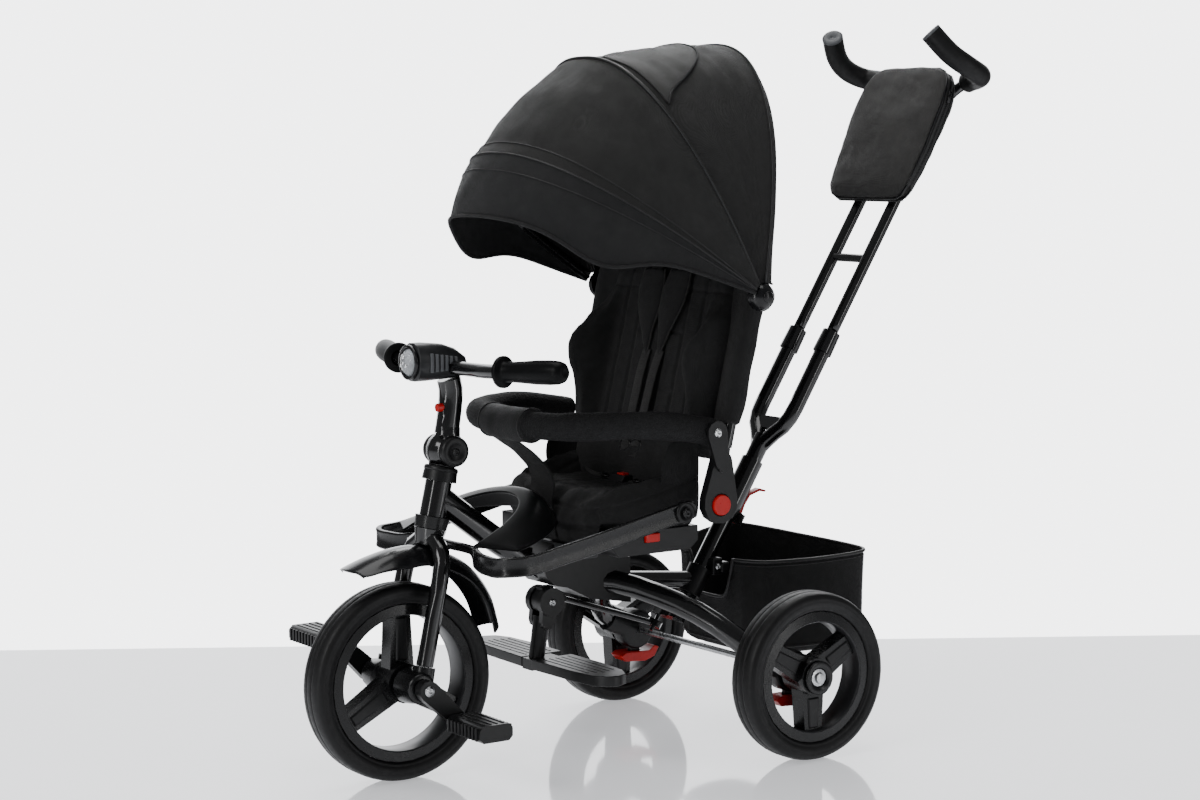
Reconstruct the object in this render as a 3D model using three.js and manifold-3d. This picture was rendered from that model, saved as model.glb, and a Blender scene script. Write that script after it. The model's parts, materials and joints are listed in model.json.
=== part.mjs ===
// A child's tricycle with a steering push bar, a padded reclining seat, a folding sun canopy,
// a bumper bar, a folding footrest, a front hoop and a rear basket.
// Millimetres, +Z up. The tricycle faces -Y and +X is the child's left. The origin is on the
// ground under the centre of the front wheel.
import * as THREE from "three";
import { mergeVertices } from "three/addons/utils/BufferGeometryUtils.js";
import Module from "manifold-3d";

const wasm = await Module();
wasm.setup();

// ---- driving dimensions -------------------------------------------------------------------

const GAP = 0.4; // between pieces that touch

const FRONT_RADIUS = 140; // wheel centre above the ground
const REAR_RADIUS = 122;
const WHEEL_BASE = 535.5;
const HALF_TRACK = 246;
const TYRE_WIDTH = 52;
const WHEEL_SIDES = 30; // even, so that a flat facet of each tyre lies on the ground
const FRONT_SEAT_RADIUS = 112; // where the tyre sits on the rim
const REAR_SEAT_RADIUS = 95;
const FRONT_WINDOW_RADIUS = 98; // the opening that the spokes cross
const REAR_WINDOW_RADIUS = 81;

const HEAD_ANGLE = 13; // the steering axis leans back by this, in degrees
const STEER_OFFSET = 9; // the steering axis passes this far behind the front hub
const FORK_TUBE = 12.5;
const FORK_CROWN = 203; // along the steering axis, from the hub's height
const HEAD_LOW = 234;
const HEAD_HIGH = 284;
const HINGE_HEIGHT = 328.5; // the ball-shaped folding joint of the stem
const HINGE_RADIUS = 28.5;

const BEAM_TUBE = 18.5;
const STAY_TUBE = 17;

const CRANK_LENGTH = 69;
const CRANK_ANGLE = 44; // below the horizontal, for the left crank, towards the rear
const PEDAL_LENGTH = 90;

const BAR_TUBE = 10;
const GRIP_START = 150;
const GRIP_END = 238;

const SEAT_HALF = 168;
const SEAT_FRONT = 245;
const SEAT_REAR = 416;
const BASE_HALF = 149;

const SIDE_X = 190; // the plane of the hoop arms, recline housings and back tubes
const RECLINE_Y = 414;
const RECLINE_Z = 375;
const BACK_ANGLE = 14;
const CANOPY_Y = 487;
const CANOPY_Z = 667;
const CANOPY_RADIUS = 372;
const CANOPY_HALF = 213;
const CANOPY_POWER = 2.4; // the bows are superellipses
const CANOPY_STEP = 10; // the front panel runs outside the rear one
const BUMPER_Y = 406;
const BUMPER_Z = 479;

const PUSH_Y = 502; // foot of the push bar
const PUSH_Z = 211;
const PUSH_ANGLE = 32.5;
const PUSH_HALF = 41.5; // half the spacing of its twin tubes
const LINK_ARM = 45;

const FOOT_Y = 246;
const FOOT_Z = 227;

// ---- helpers ------------------------------------------------------------------------------

const rad = THREE.MathUtils.degToRad;
const v3 = (x, y, z) => new THREE.Vector3(x, y, z);
const v2 = (x, y) => new THREE.Vector2(x, y);

function plain(geometry) {
  const copy = geometry.clone();
  for (const name of Object.keys(copy.attributes)) {
    if (name !== "position") copy.deleteAttribute(name);
  }
  return mergeVertices(copy, 1e-4);
}

function signedVolume(geometry) {
  const p = geometry.attributes.position;
  const at = (i) => v3(0, 0, 0).fromBufferAttribute(p, geometry.index.getX(i));
  let sum = 0;
  for (let i = 0; i < geometry.index.count; i += 3) {
    sum += at(i).dot(at(i + 1).cross(at(i + 2)));
  }
  return sum / 6;
}

function outward(geometry) {
  const g = plain(geometry);
  if (signedVolume(g) < 0) {
    const a = g.index.array;
    for (let i = 0; i < a.length; i += 3) {
      const first = a[i];
      a[i] = a[i + 1];
      a[i + 1] = first;
    }
  }
  return g;
}

function solid(geometry) {
  const g = outward(geometry);
  const vertProperties = new Float32Array(g.attributes.position.array);
  const triVerts = new Uint32Array(g.index.array);
  return new wasm.Manifold(new wasm.Mesh({ numProp: 3, vertProperties, triVerts }));
}

function fromSolid(manifold) {
  const mesh = manifold.getMesh();
  const g = new THREE.BufferGeometry();
  g.setAttribute("position", new THREE.BufferAttribute(mesh.vertProperties, 3));
  g.setIndex(new THREE.BufferAttribute(mesh.triVerts, 1));
  return g;
}

function join(...parts) {
  return fromSolid(parts.map(solid).reduce((sum, part) => sum.add(part)));
}

function cut(body, ...tools) {
  return fromSolid(tools.map(solid).reduce((rest, tool) => rest.subtract(tool), solid(body)));
}

function common(a, b) {
  return fromSolid(solid(a).intersect(solid(b)));
}

function mirrored(geometry) {
  return outward(geometry.clone().applyMatrix4(new THREE.Matrix4().makeScale(-1, 1, 1)));
}

function box(x0, x1, y0, y1, z0, z1) {
  const g = new THREE.BoxGeometry(x1 - x0, y1 - y0, z1 - z0);
  return g.translate((x0 + x1) / 2, (y0 + y1) / 2, (z0 + z1) / 2);
}

// The same path with its two ends moved outwards by the given amount.
function stretched(points, amount) {
  const path = points.map((p) => p.clone());
  const last = path.length - 1;
  path[0].addScaledVector(points[0].clone().sub(points[1]).normalize(), amount);
  path[last].addScaledVector(points[last].clone().sub(points[last - 1]).normalize(), amount);
  return path;
}

// A straight round bar from a to b; its radius may change from end to end.
function rod(a, b, radius, sides = 12, radiusB = radius) {
  const axis = b.clone().sub(a);
  const g = new THREE.CylinderGeometry(radiusB, radius, axis.length(), sides);
  const turn = new THREE.Quaternion().setFromUnitVectors(v3(0, 1, 0), axis.normalize());
  const middle = a.clone().add(b).multiplyScalar(0.5);
  return g.applyQuaternion(turn).translate(middle.x, middle.y, middle.z);
}

// A round tube along a smooth curve through the points, closed at both ends.
function tube(points, radius, steps, sides = 10) {
  const shape = new THREE.Shape();
  for (let i = 0; i < sides; i++) {
    const a = (i / sides) * 2 * Math.PI;
    if (i === 0) shape.moveTo(radius, 0);
    else shape.lineTo(radius * Math.cos(a), radius * Math.sin(a));
  }
  const extrudePath = new THREE.CatmullRomCurve3(points, false, "centripetal");
  return new THREE.ExtrudeGeometry(shape, { steps, extrudePath, bevelEnabled: false });
}

// A turned piece about the X axis through (0, y, z). The profile holds (x, radius) pairs and
// closes on itself, or starts and ends on the axis. A facet lies flat at the bottom.
function turned(profile, sides, y = 0, z = 0) {
  const points = profile.map(([x, r]) => v2(r, x));
  const g = new THREE.LatheGeometry(points, sides, Math.PI / sides, 2 * Math.PI);
  return g.rotateZ(-Math.PI / 2).translate(0, y, z);
}

// A flat-sided piece: an outline of (y, z) points carried along X from x0 to x1.
function plateX(outline, x0, x1) {
  const shape = new THREE.Shape(outline.map(([y, z]) => v2(y, z)));
  const g = new THREE.ExtrudeGeometry(shape, { depth: x1 - x0, bevelEnabled: false });
  const axes = new THREE.Matrix4().makeBasis(v3(0, 1, 0), v3(0, 0, 1), v3(1, 0, 0));
  return g.applyMatrix4(axes).translate(x0, 0, 0);
}

// An outline of (x, z) points carried along Y from y0 to y1.
function plateY(outline, y0, y1) {
  const shape = new THREE.Shape(outline.map(([x, z]) => v2(x, z)));
  const g = new THREE.ExtrudeGeometry(shape, { depth: y1 - y0, bevelEnabled: false });
  return g.rotateX(Math.PI / 2).translate(0, y1, 0);
}

// An outline of (x, y) points carried up from z0 to z1.
function plateZ(outline, z0, z1) {
  const shape = new THREE.Shape(outline.map(([x, y]) => v2(x, y)));
  const g = new THREE.ExtrudeGeometry(shape, { depth: z1 - z0, bevelEnabled: false });
  return g.translate(0, 0, z0);
}

// The outline round two circles, such as a teardrop or a crank.
function capsule(ay, az, ar, by, bz, br, steps = 7) {
  const angle = Math.atan2(bz - az, by - ay);
  const open = Math.acos((ar - br) / Math.hypot(by - ay, bz - az));
  const points = [];
  for (let i = 0; i <= steps; i++) {
    const t = angle + open + (2 * (Math.PI - open) * i) / steps;
    points.push([ay + ar * Math.cos(t), az + ar * Math.sin(t)]);
  }
  for (let i = 0; i <= steps; i++) {
    const t = angle - open + (2 * open * i) / steps;
    points.push([by + br * Math.cos(t), bz + br * Math.sin(t)]);
  }
  return points;
}

function disc(y, z, r, sides = 16) {
  const at = (i) => ((i + 0.5) / sides) * 2 * Math.PI;
  return Array.from({ length: sides }, (_, i) => [y + r * Math.cos(at(i)), z + r * Math.sin(at(i))]);
}

// A closed skin over rings of equal length, with a fan at each end.
function loft(rings) {
  const n = rings[0].length;
  const middle = (ring) => ring.reduce((s, p) => s.add(p), v3(0, 0, 0)).divideScalar(n);
  const points = [...rings.flat(), middle(rings[0]), middle(rings[rings.length - 1])];
  const index = [];
  for (let r = 0; r + 1 < rings.length; r++) {
    for (let i = 0; i < n; i++) {
      const a = r * n + i;
      const b = r * n + ((i + 1) % n);
      index.push(a, b, a + n, b, b + n, a + n);
    }
  }
  const last = (rings.length - 1) * n;
  for (let i = 0; i < n; i++) {
    const next = (i + 1) % n;
    index.push(next, i, rings.length * n, last + i, last + next, rings.length * n + 1);
  }
  const g = new THREE.BufferGeometry().setFromPoints(points);
  g.setIndex(index);
  return outward(g);
}

// A flat bar that follows the points, standing on edge. Its height may depend on the place.
function flatBar(points, heightAt, thick) {
  const rings = points.map((p, i) => {
    const height = heightAt(p);
    const before = points[Math.max(i - 1, 0)];
    const after = points[Math.min(i + 1, points.length - 1)];
    const along = after.clone().sub(before).normalize();
    const side = along.clone().cross(v3(0, 0, 1)).normalize().multiplyScalar(thick / 2);
    const up = side.clone().cross(along).normalize().multiplyScalar(height / 2);
    const corner = (s, u) => p.clone().addScaledVector(side, s).addScaledVector(up, u);
    return [corner(1, 0.7), corner(0.5, 1), corner(-0.5, 1), corner(-1, 0.7), corner(-1, -0.7),
      corner(-0.5, -1), corner(0.5, -1), corner(1, -0.7)];
  });
  return loft(rings);
}

// A sheet of the given thickness below a grid of surface points (rows of equal length).
function sheet(grid, thickness) {
  const rows = grid.length;
  const cols = grid[0].length;
  const inner = grid.map((row, r) =>
    row.map((p, c) => {
      const du = grid[Math.min(r + 1, rows - 1)][c].clone().sub(grid[Math.max(r - 1, 0)][c]);
      const dv = row[Math.min(c + 1, cols - 1)].clone().sub(row[Math.max(c - 1, 0)]);
      return p.clone().addScaledVector(du.cross(dv).normalize(), thickness);
    }));
  const at = (r, c, layer) => layer * rows * cols + r * cols + c;
  const index = [];
  const quad = (a, b, c, d) => index.push(a, b, c, a, c, d);
  for (let r = 0; r + 1 < rows; r++) {
    for (let c = 0; c + 1 < cols; c++) {
      quad(at(r, c, 0), at(r + 1, c, 0), at(r + 1, c + 1, 0), at(r, c + 1, 0));
      quad(at(r, c + 1, 1), at(r + 1, c + 1, 1), at(r + 1, c, 1), at(r, c, 1));
    }
  }
  for (let r = 0; r + 1 < rows; r++) {
    quad(at(r, 0, 1), at(r + 1, 0, 1), at(r + 1, 0, 0), at(r, 0, 0));
    quad(at(r, cols - 1, 0), at(r + 1, cols - 1, 0), at(r + 1, cols - 1, 1), at(r, cols - 1, 1));
  }
  for (let c = 0; c + 1 < cols; c++) {
    quad(at(0, c, 0), at(0, c + 1, 0), at(0, c + 1, 1), at(0, c, 1));
    quad(at(rows - 1, c, 1), at(rows - 1, c + 1, 1), at(rows - 1, c + 1, 0), at(rows - 1, c, 0));
  }
  const g = new THREE.BufferGeometry().setFromPoints([...grid.flat(), ...inner.flat()]);
  g.setIndex(index);
  return outward(g);
}

function finish(color, roughness, metalness = 0) {
  return new THREE.MeshStandardMaterial({ color, roughness, metalness });
}

const PAINT = finish(0x141518, 0.28, 0.4);
const PLASTIC = finish(0x1c1d1f, 0.55);
const GLOSS = finish(0x101114, 0.2);
const DARK_GREY = finish(0x3a3c3f, 0.5);
const FOAM = finish(0x232426, 0.8);
const FABRIC = finish(0x1a1b1d, 0.95);
const OXFORD = finish(0x3b3a36, 0.9);
const RED = finish(0xb3202a, 0.45);
const STEEL = finish(0xb9bcbf, 0.3, 1);
const LENS = finish(0xe8ecef, 0.08);

const tricycle = new THREE.Group();

function add(name, geometry, material, parent = tricycle) {
  const mesh = new THREE.Mesh(outward(geometry), material);
  mesh.name = name;
  parent.add(mesh);
}

function addPair(name, geometry, material, parent = tricycle) {
  add(`${name}_left`, geometry, material, parent);
  add(`${name}_right`, mirrored(geometry), material, parent);
}

// The steering group's own Z runs up the steering axis, from beside the front hub.
const steering = new THREE.Group();
steering.position.set(0, STEER_OFFSET, FRONT_RADIUS);
steering.rotation.x = rad(-HEAD_ANGLE);
tricycle.add(steering);
steering.updateMatrixWorld(true);
const steered = (geometry) => geometry.clone().applyMatrix4(steering.matrixWorld);

// The push group's own Z runs up the push bar, which twists about it to steer.
const pushBar = new THREE.Group();
pushBar.position.set(0, PUSH_Y, PUSH_Z);
pushBar.rotation.x = rad(-PUSH_ANGLE);
tricycle.add(pushBar);
pushBar.updateMatrixWorld(true);
const pushed = (geometry) => geometry.clone().applyMatrix4(pushBar.matrixWorld);

// ---- wheels -------------------------------------------------------------------------------

const corner = 1 / Math.cos(Math.PI / WHEEL_SIDES); // facet corners stand this much further out

function tyre(radius, seat) {
  const r = radius * corner;
  const half = TYRE_WIDTH / 2;
  return [[-20, seat], [-half, r - 15], [-18, r - 3.5], [-9, r], [9, r], [18, r - 3.5],
    [half, r - 15], [20, seat], [-20, seat]];
}

function rim(seat, window, bore, firstSpoke, y, z) {
  const outer = seat - GAP;
  const barrel = turned([[-22, window], [-20, outer], [20, outer], [22, window], [-22, window]],
    WHEEL_SIDES, y, z);
  const hub = turned([[-24, 0], [-24, 28], [24, 28], [24, 0]], 16, y, z);
  const spokes = [0, 120, 240].map((step) => {
    const spoke = plateX([[20, -19], [window, -15], [window, 15], [20, 19]], -13, 13);
    return spoke.rotateX(rad(firstSpoke + step)).translate(0, y, z);
  });
  const hole = rod(v3(-40, y, z), v3(40, y, z), bore, 12);
  return cut(join(barrel, hub, ...spokes), hole);
}

const frontTyre = turned(tyre(FRONT_RADIUS, FRONT_SEAT_RADIUS), WHEEL_SIDES, 0, FRONT_RADIUS);
add("front_tyre", frontTyre, FOAM);
const frontRim = rim(FRONT_SEAT_RADIUS, FRONT_WINDOW_RADIUS, 6.6, 90, 0, FRONT_RADIUS);
add("front_rim", frontRim, PLASTIC);

const rearTyre = turned(tyre(REAR_RADIUS, REAR_SEAT_RADIUS), WHEEL_SIDES, WHEEL_BASE, REAR_RADIUS);
addPair("rear_tyre", rearTyre.translate(HALF_TRACK, 0, 0), FOAM);
const rearRim = rim(REAR_SEAT_RADIUS, REAR_WINDOW_RADIUS, 5.6, 270, WHEEL_BASE, REAR_RADIUS);
addPair("rear_rim", rearRim.translate(HALF_TRACK, 0, 0), PLASTIC);

function rearAxle() {
  const hubFace = HALF_TRACK + 24.5;
  const half = [[hubFace, 5], [hubFace, 13], [hubFace + 2, 13], [hubFace + 2.5, 8],
    [hubFace + 7, 7.5], [hubFace + 8, 0]];
  const other = half.map(([x, r]) => [-x, r]).reverse();
  return turned([...other, ...half], 12, WHEEL_BASE, REAR_RADIUS);
}
add("rear_axle", rearAxle(), STEEL);

// ---- cranks and pedals --------------------------------------------------------------------

function crankset() {
  const arms = [1, -1].map((side) => {
    const dy = CRANK_LENGTH * Math.cos(rad(CRANK_ANGLE)) * side;
    const dz = -CRANK_LENGTH * Math.sin(rad(CRANK_ANGLE)) * side;
    const outline = capsule(0, FRONT_RADIUS, 15, dy, FRONT_RADIUS + dz, 11, 5);
    const x = [74 * side, 90 * side].sort((a, b) => a - b);
    const arm = plateX(outline, x[0], x[1]);
    const at = (px) => v3(px * side, dy, FRONT_RADIUS + dz);
    return join(arm, rod(at(88), at(94 + PEDAL_LENGTH - 6), 5, 10));
  });
  const axle = rod(v3(-80, 0, FRONT_RADIUS), v3(80, 0, FRONT_RADIUS), 6, 12);
  return join(axle, ...arms);
}
add("crankset", crankset(), PLASTIC);

function pedal(side) {
  const dy = CRANK_LENGTH * Math.cos(rad(CRANK_ANGLE)) * side;
  const z = FRONT_RADIUS - CRANK_LENGTH * Math.sin(rad(CRANK_ANGLE)) * side;
  const outline = [[-20, -12], [20, -12], [26, -6], [26, 6], [20, 12], [-20, 12], [-26, 6], [-26, -6]];
  const block = plateX(outline, 94, 94 + PEDAL_LENGTH);
  const hole = rod(v3(90, 0, 0), v3(94 + PEDAL_LENGTH - 5, 0, 0), 5.5, 10);
  const left = cut(block, hole);
  return (side > 0 ? left : mirrored(left)).translate(0, dy, z);
}
add("pedal_left", pedal(1), PLASTIC);
add("pedal_right", pedal(-1), PLASTIC);

// ---- fork, mudguard and stem hinge --------------------------------------------------------

const flip = (p) => v3(-p.x, p.y, p.z);
const forkLeg = [v3(50, 0, 28), v3(50, 0, 80), v3(50, 0, 152), v3(46, 0, 176), v3(31, 0, 195)];
const forkPath = [...forkLeg.map(flip), v3(0, 0, FORK_CROWN), ...[...forkLeg].reverse()];

function fork() {
  const hoop = tube(forkPath, FORK_TUBE, 20, 8);
  const crown = rod(v3(0, 0, FORK_CROWN - 10), v3(0, 0, FORK_CROWN + 13), 18, 12, 23);
  const steerer = rod(v3(0, 0, FORK_CROWN), v3(0, 0, HINGE_HEIGHT - HINGE_RADIUS - GAP), 11, 10);
  return join(hoop, crown, steerer);
}
add("fork", fork(), PAINT, steering);

function hubBracket() {
  const barrel = turned([[29, 0], [29, 24], [33, 26], [66, 22], [71, 17], [71, 0]], 14, 0, FRONT_RADIUS);
  const socket = steered(rod(v3(50, 0, -6), v3(50, 0, 27.4), 17, 10, 15.5));
  return cut(join(barrel, socket), rod(v3(20, 0, FRONT_RADIUS), v3(80, 0, FRONT_RADIUS), 6.6, 12));
}
addPair("hub_bracket", hubBracket(), PLASTIC);

function mudguard() {
  const ridge = new THREE.CatmullRomCurve3([v3(0, -80, 306), v3(0, -42, 320), v3(0, 0, 329), v3(0, 40, 329),
    v3(0, 80, 315), v3(0, 118, 291), v3(0, 148, 251), v3(0, 163, 203)]);
  const rows = [];
  for (let i = 0; i <= 11; i++) {
    const t = i / 11;
    const p = ridge.getPoint(t);
    const half = 41 - 16 * Math.max(0, 0.22 - t) - 12 * t * t;
    const droop = 8 + 18 * Math.min(1, t / 0.3) - 6 * t;
    const inward = v3(0, -p.y, FRONT_RADIUS - p.z).normalize();
    const row = [];
    for (let j = 0; j <= 4; j++) {
      const u = j / 2 - 1;
      row.push(p.clone().add(v3(half * u, 0, 0)).addScaledVector(inward, droop * Math.abs(u) ** 2.2));
    }
    rows.push(row);
  }
  const crownRoom = rod(v3(0, 0, FORK_CROWN - 18), v3(0, 0, FORK_CROWN + 16), 24.5, 16);
  return cut(sheet(rows, 3), steered(tube(forkPath, FORK_TUBE + 0.8, 20, 8)), steered(crownRoom));
}
add("mudguard", mudguard(), GLOSS);

function hingeBall(side) {
  const ball = new THREE.SphereGeometry(HINGE_RADIUS, 16, 8).rotateZ(Math.PI / 2);
  const keep = side > 0 ? box(0.4, 40, -40, 40, -40, 40) : box(-40, -0.4, -40, 40, -40, 40);
  return common(ball, keep).translate(0, 2, HINGE_HEIGHT);
}

function clearOfBall(body, side) {
  const ball = new THREE.SphereGeometry(HINGE_RADIUS + 1.6, 16, 8).rotateZ(Math.PI / 2);
  const keep = side > 0 ? box(-0.6, 60, -60, 60, -60, 60) : box(-60, 0.6, -60, 60, -60, 60);
  return cut(body, common(ball, keep).translate(0, 2, HINGE_HEIGHT));
}

function stemHingeLower() {
  const low = HINGE_HEIGHT - HINGE_RADIUS + GAP;
  const neck = rod(v3(0, 1, low), v3(0, 1, low + 14), 19, 14, 21);
  return join(clearOfBall(neck, 1), hingeBall(-1));
}
add("stem_hinge", stemHingeLower(), GLOSS, steering);

// ---- stem, handlebar and console ----------------------------------------------------------

function stem() {
  const ballTop = v3(0, 84.9, 459.6 + HINGE_RADIUS);
  const neck = rod(v3(0, 87, ballTop.z - 14), v3(0, 89, ballTop.z + 5), 19, 14, 17.5);
  const post = tube([v3(0, 88, ballTop.z + 1), v3(0, 93, 520), v3(0, 95, 545), v3(0, 92, 560)], 17, 5, 12);
  const local = (g) => g.clone().applyMatrix4(steering.matrixWorld.clone().invert());
  const clear = steered(clearOfBall(local(neck), -1));
  const pocket = rod(v3(3, 60, 521), v3(3, 84, 521), 6.6, 12);
  return cut(join(clear, post, steered(hingeBall(1))), pocket);
}
add("stem", stem(), PAINT);

const BUTTON_AT = v3(3, 70, 521);
const stemButton = rod(v3(BUTTON_AT.x, 69.5, BUTTON_AT.z), v3(BUTTON_AT.x, 79.5, BUTTON_AT.z), 6, 12);
add("stem_button", stemButton, RED);

const barHalf = [v3(0, 88, 578), v3(80, 88, 578), v3(GRIP_START, 94, 580), v3(195, 106, 582),
  v3(GRIP_END, 124, 584)];
const barPath = [...barHalf.slice(1).reverse().map(flip), ...barHalf];

add("handlebar", tube(barPath, BAR_TUBE, 14, 8), PAINT);

function grip() {
  const end = v3(GRIP_END + 5, 126.5, 584.3);
  const sleeve = tube([...barHalf.slice(2), end], 15, 5, 10);
  const flange = rod(v3(GRIP_START - 3, 93, 580), v3(GRIP_START + 6, 95.5, 580.2), 22, 16);
  return cut(join(sleeve, flange), tube(stretched(barPath, GAP), BAR_TUBE + GAP, 14, 8));
}
addPair("grip", grip(), PLASTIC);

function console_() {
  // Each section: distance back, centre height, half width, half height.
  const sections = [[30, 587, 22, 23], [33, 587, 26, 27], [50, 587, 27, 27], [78, 586, 25, 25],
    [98, 583, 22, 21], [112, 579, 17, 15]];
  const rings = sections.map(([y, z, w, h]) =>
    Array.from({ length: 12 }, (_, i) => {
      const a = ((i + 0.5) / 12) * 2 * Math.PI;
      const c = Math.cos(a);
      const s = Math.sin(a);
      const k = 1 / (Math.abs(c) ** 2.8 + Math.abs(s) ** 2.8) ** (1 / 2.8);
      return v3(w * c * k, y, z + h * s * k);
    }));
  const pocket = rod(v3(0, 20, 587), v3(0, 36, 587), 19.5, 16);
  return cut(loft(rings), pocket, tube(barPath, BAR_TUBE + GAP, 14, 8));
}
add("console", console_(), DARK_GREY);

function lampLens() {
  const profile = [v2(0, 8), v2(19, 8), v2(19, 0), v2(14, -5), v2(7, -8), v2(0, -9)];
  return new THREE.LatheGeometry(profile.reverse(), 16).translate(0, 27, 587);
}
add("lamp_lens", lampLens(), LENS);

// ---- main frame ---------------------------------------------------------------------------

const beamPath = [v3(0, 72, 394), v3(0, 137, 344), v3(0, 200, 299), v3(0, 250, 274), v3(0, 305, 257),
  v3(0, 352, 248)];
const stayPath = [v3(14, 325, 250), v3(46, 352, 247), v3(88, 392, 229), v3(135, 430, 204),
  v3(176, 455, 177), v3(196, 478, 153), v3(199, 500, 137)];

function frameTubes(extra) {
  const beam = tube(stretched(beamPath, extra), BEAM_TUBE + extra, 8, 10);
  const stay = tube(stretched(stayPath, extra), STAY_TUBE + extra, 9, 10);
  const spine = rod(v3(0, 335, 248), v3(0, PUSH_Y + 14, PUSH_Z + 18), 13 + extra, 10);
  return join(beam, stay, mirrored(stay), spine);
}

function mainFrame() {
  const head = steered(rod(v3(0, 0, HEAD_LOW), v3(0, 0, HEAD_HIGH), 19, 14));
  const bore = steered(rod(v3(0, 0, HEAD_LOW - 20), v3(0, 0, HEAD_HIGH + 20), 13.5, 12));
  const socketRoom = pushed(rod(v3(0, 0, -20), v3(0, 0, 90), 18.5 + GAP, 14));
  const cupRoom = steered(rod(v3(0, 0, FORK_CROWN), v3(0, 0, HEAD_LOW), 25.8, 16));
  return cut(join(head, frameTubes(0)), bore, cupRoom, socketRoom);
}
add("main_frame", mainFrame(), PAINT);

function headsetCup(z0, z1, r0, r1) {
  const bore = rod(v3(0, 0, z0 - 5), v3(0, 0, z1 + 5), 13.5, 12);
  return cut(rod(v3(0, 0, z0), v3(0, 0, z1), r0, 16, r1), bore);
}
add("headset_lower", headsetCup(FORK_CROWN + 13.5, HEAD_LOW - GAP, 23, 25), GLOSS, steering);
add("headset_upper", headsetCup(HEAD_HIGH + GAP, HINGE_HEIGHT - HINGE_RADIUS - 0.6, 25, 24), GLOSS, steering);

function frameCover() {
  const outline = [[214, 302], [226, 268], [240, 254], [262, 249], [300, 229], [371, 216], [371, 283],
    [330, 292], [290, 298.5], [262, 304], [244, 306], [238, 316]];
  return cut(plateX(outline, -38, 38), frameTubes(GAP));
}
add("frame_cover", frameCover(), PLASTIC);

function pushSocket() {
  const sleeve = rod(v3(0, 0, -2), v3(0, 0, 42), 18.5, 14);
  return cut(sleeve, rod(v3(0, 0, -10), v3(0, 0, 50), 14.5, 14));
}
add("push_socket", pushSocket(), PLASTIC, pushBar);

function brakeHousing() {
  const y = WHEEL_BASE;
  const z = REAR_RADIUS;
  const drum = turned([[184, 0], [184, 27], [188, 31], [210, 31], [213, 28], [213, 0]], 16, y, z);
  const sleeve = rod(v3(199, 530, 124), v3(199, 487, 144.5), 21, 12);
  const lug = box(196, 204, 527, 545, 77, 100);
  const stay = tube(stretched(stayPath, GAP), STAY_TUBE + GAP, 9, 10);
  return cut(join(drum, sleeve, lug), stay, rod(v3(170, y, z), v3(230, y, z), 5.6, 12));
}
addPair("brake_housing", brakeHousing(), PLASTIC);

function brakePedal() {
  const outline = [[503, 82], [512, 73], [548, 70], [566, 76], [574, 90], [566, 93], [556, 86], [512, 87]];
  const slot = box(195.4, 204.6, 524, 548, 74.5, 100);
  return cut(plateX(outline, 184, 216), slot);
}
addPair("brake_pedal", brakePedal(), RED);

// ---- hoop and front cowl ------------------------------------------------------------------

function frontHoop() {
  const arc = [90, 60, 30, 0].map((a) =>
    v3(160 + 30 * Math.sin(rad(a)), 96 - 30 * Math.cos(rad(a)), 315 + 3 * Math.sin(rad(a))));
  const arm = [v3(SIDE_X, 380, 371), v3(SIDE_X, 359, 368), v3(SIDE_X, 250, 345), v3(SIDE_X, 150, 326),
    ...arc, v3(115, 71, 315), v3(92, 77, 318), v3(66, 86, 325)];
  const heightAt = (p) => (Math.abs(p.x) < 80 ? 12 : 27);
  const bar = flatBar([...arm, ...[...arm].reverse().map(flip)], heightAt, 8);
  const bosses = [1, -1].map((s) => rod(v3(s * 187, 359, 368), v3(s * 199, 359, 368), 15, 14));
  return join(bar, ...bosses);
}
add("front_hoop", frontHoop(), PLASTIC);

function frontCowl() {
  // The hood runs from its arched mouth, which leans back, down to its base in front of the seat.
  const grid = [0, 0.25, 0.5, 0.75, 1].map((t) =>
    Array.from({ length: 13 }, (_, i) => {
      const a = (i / 12) * Math.PI;
      const rise = Math.sin(a) ** 0.75;
      const mouth = v3(97 * Math.cos(a), 68 + 118 * rise, 337 + 54 * rise);
      const base = v3(164 * Math.cos(a), 100 + 132 * Math.sin(a), 337 + 27 * Math.sin(a));
      const bulge = Math.sin(Math.PI * t) * Math.sin(a);
      return mouth.lerp(base, t).add(v3(14 * Math.cos(a) * bulge, 4 * bulge, 17 * bulge));
    }));
  return sheet(grid, 3.5);
}
add("front_cowl", frontCowl(), PLASTIC);

// ---- footrest -----------------------------------------------------------------------------

const footBracket = join(plateX(disc(FOOT_Y, FOOT_Z, 19, 18), -9, 9), box(-9, 9, 236, 256, 236, 248.5));
add("footrest_bracket", cut(footBracket, frameTubes(GAP)), PLASTIC);

function footrestPost() {
  const eye = plateX(disc(FOOT_Y, FOOT_Z, 21, 18), 9.5, 21);
  const cheeks = plateX(capsule(FOOT_Y, FOOT_Z, 14, 240, 198, 11, 4), 9.5, 19);
  const post = rod(v3(0, 241, 205), v3(0, 228, 132), 13, 12, 11);
  const foot = box(-13, 13, 214, 262, 129, 145);
  return join(eye, mirrored(eye), cheeks, mirrored(cheeks), post, foot, box(-19, 19, 230, 250, 196, 206));
}
add("footrest_post", footrestPost(), PLASTIC);

function footPlate() {
  const outline = [[13.6, 213], [110, 216], [160, 222], [180, 236], [184, 250], [176, 268], [150, 279],
    [90, 284], [13.6, 282]];
  return plateZ(outline, 131, 146);
}
addPair("foot_plate", footPlate(), PLASTIC);

// ---- seat ---------------------------------------------------------------------------------

const BASE_TOP = 340;

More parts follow.
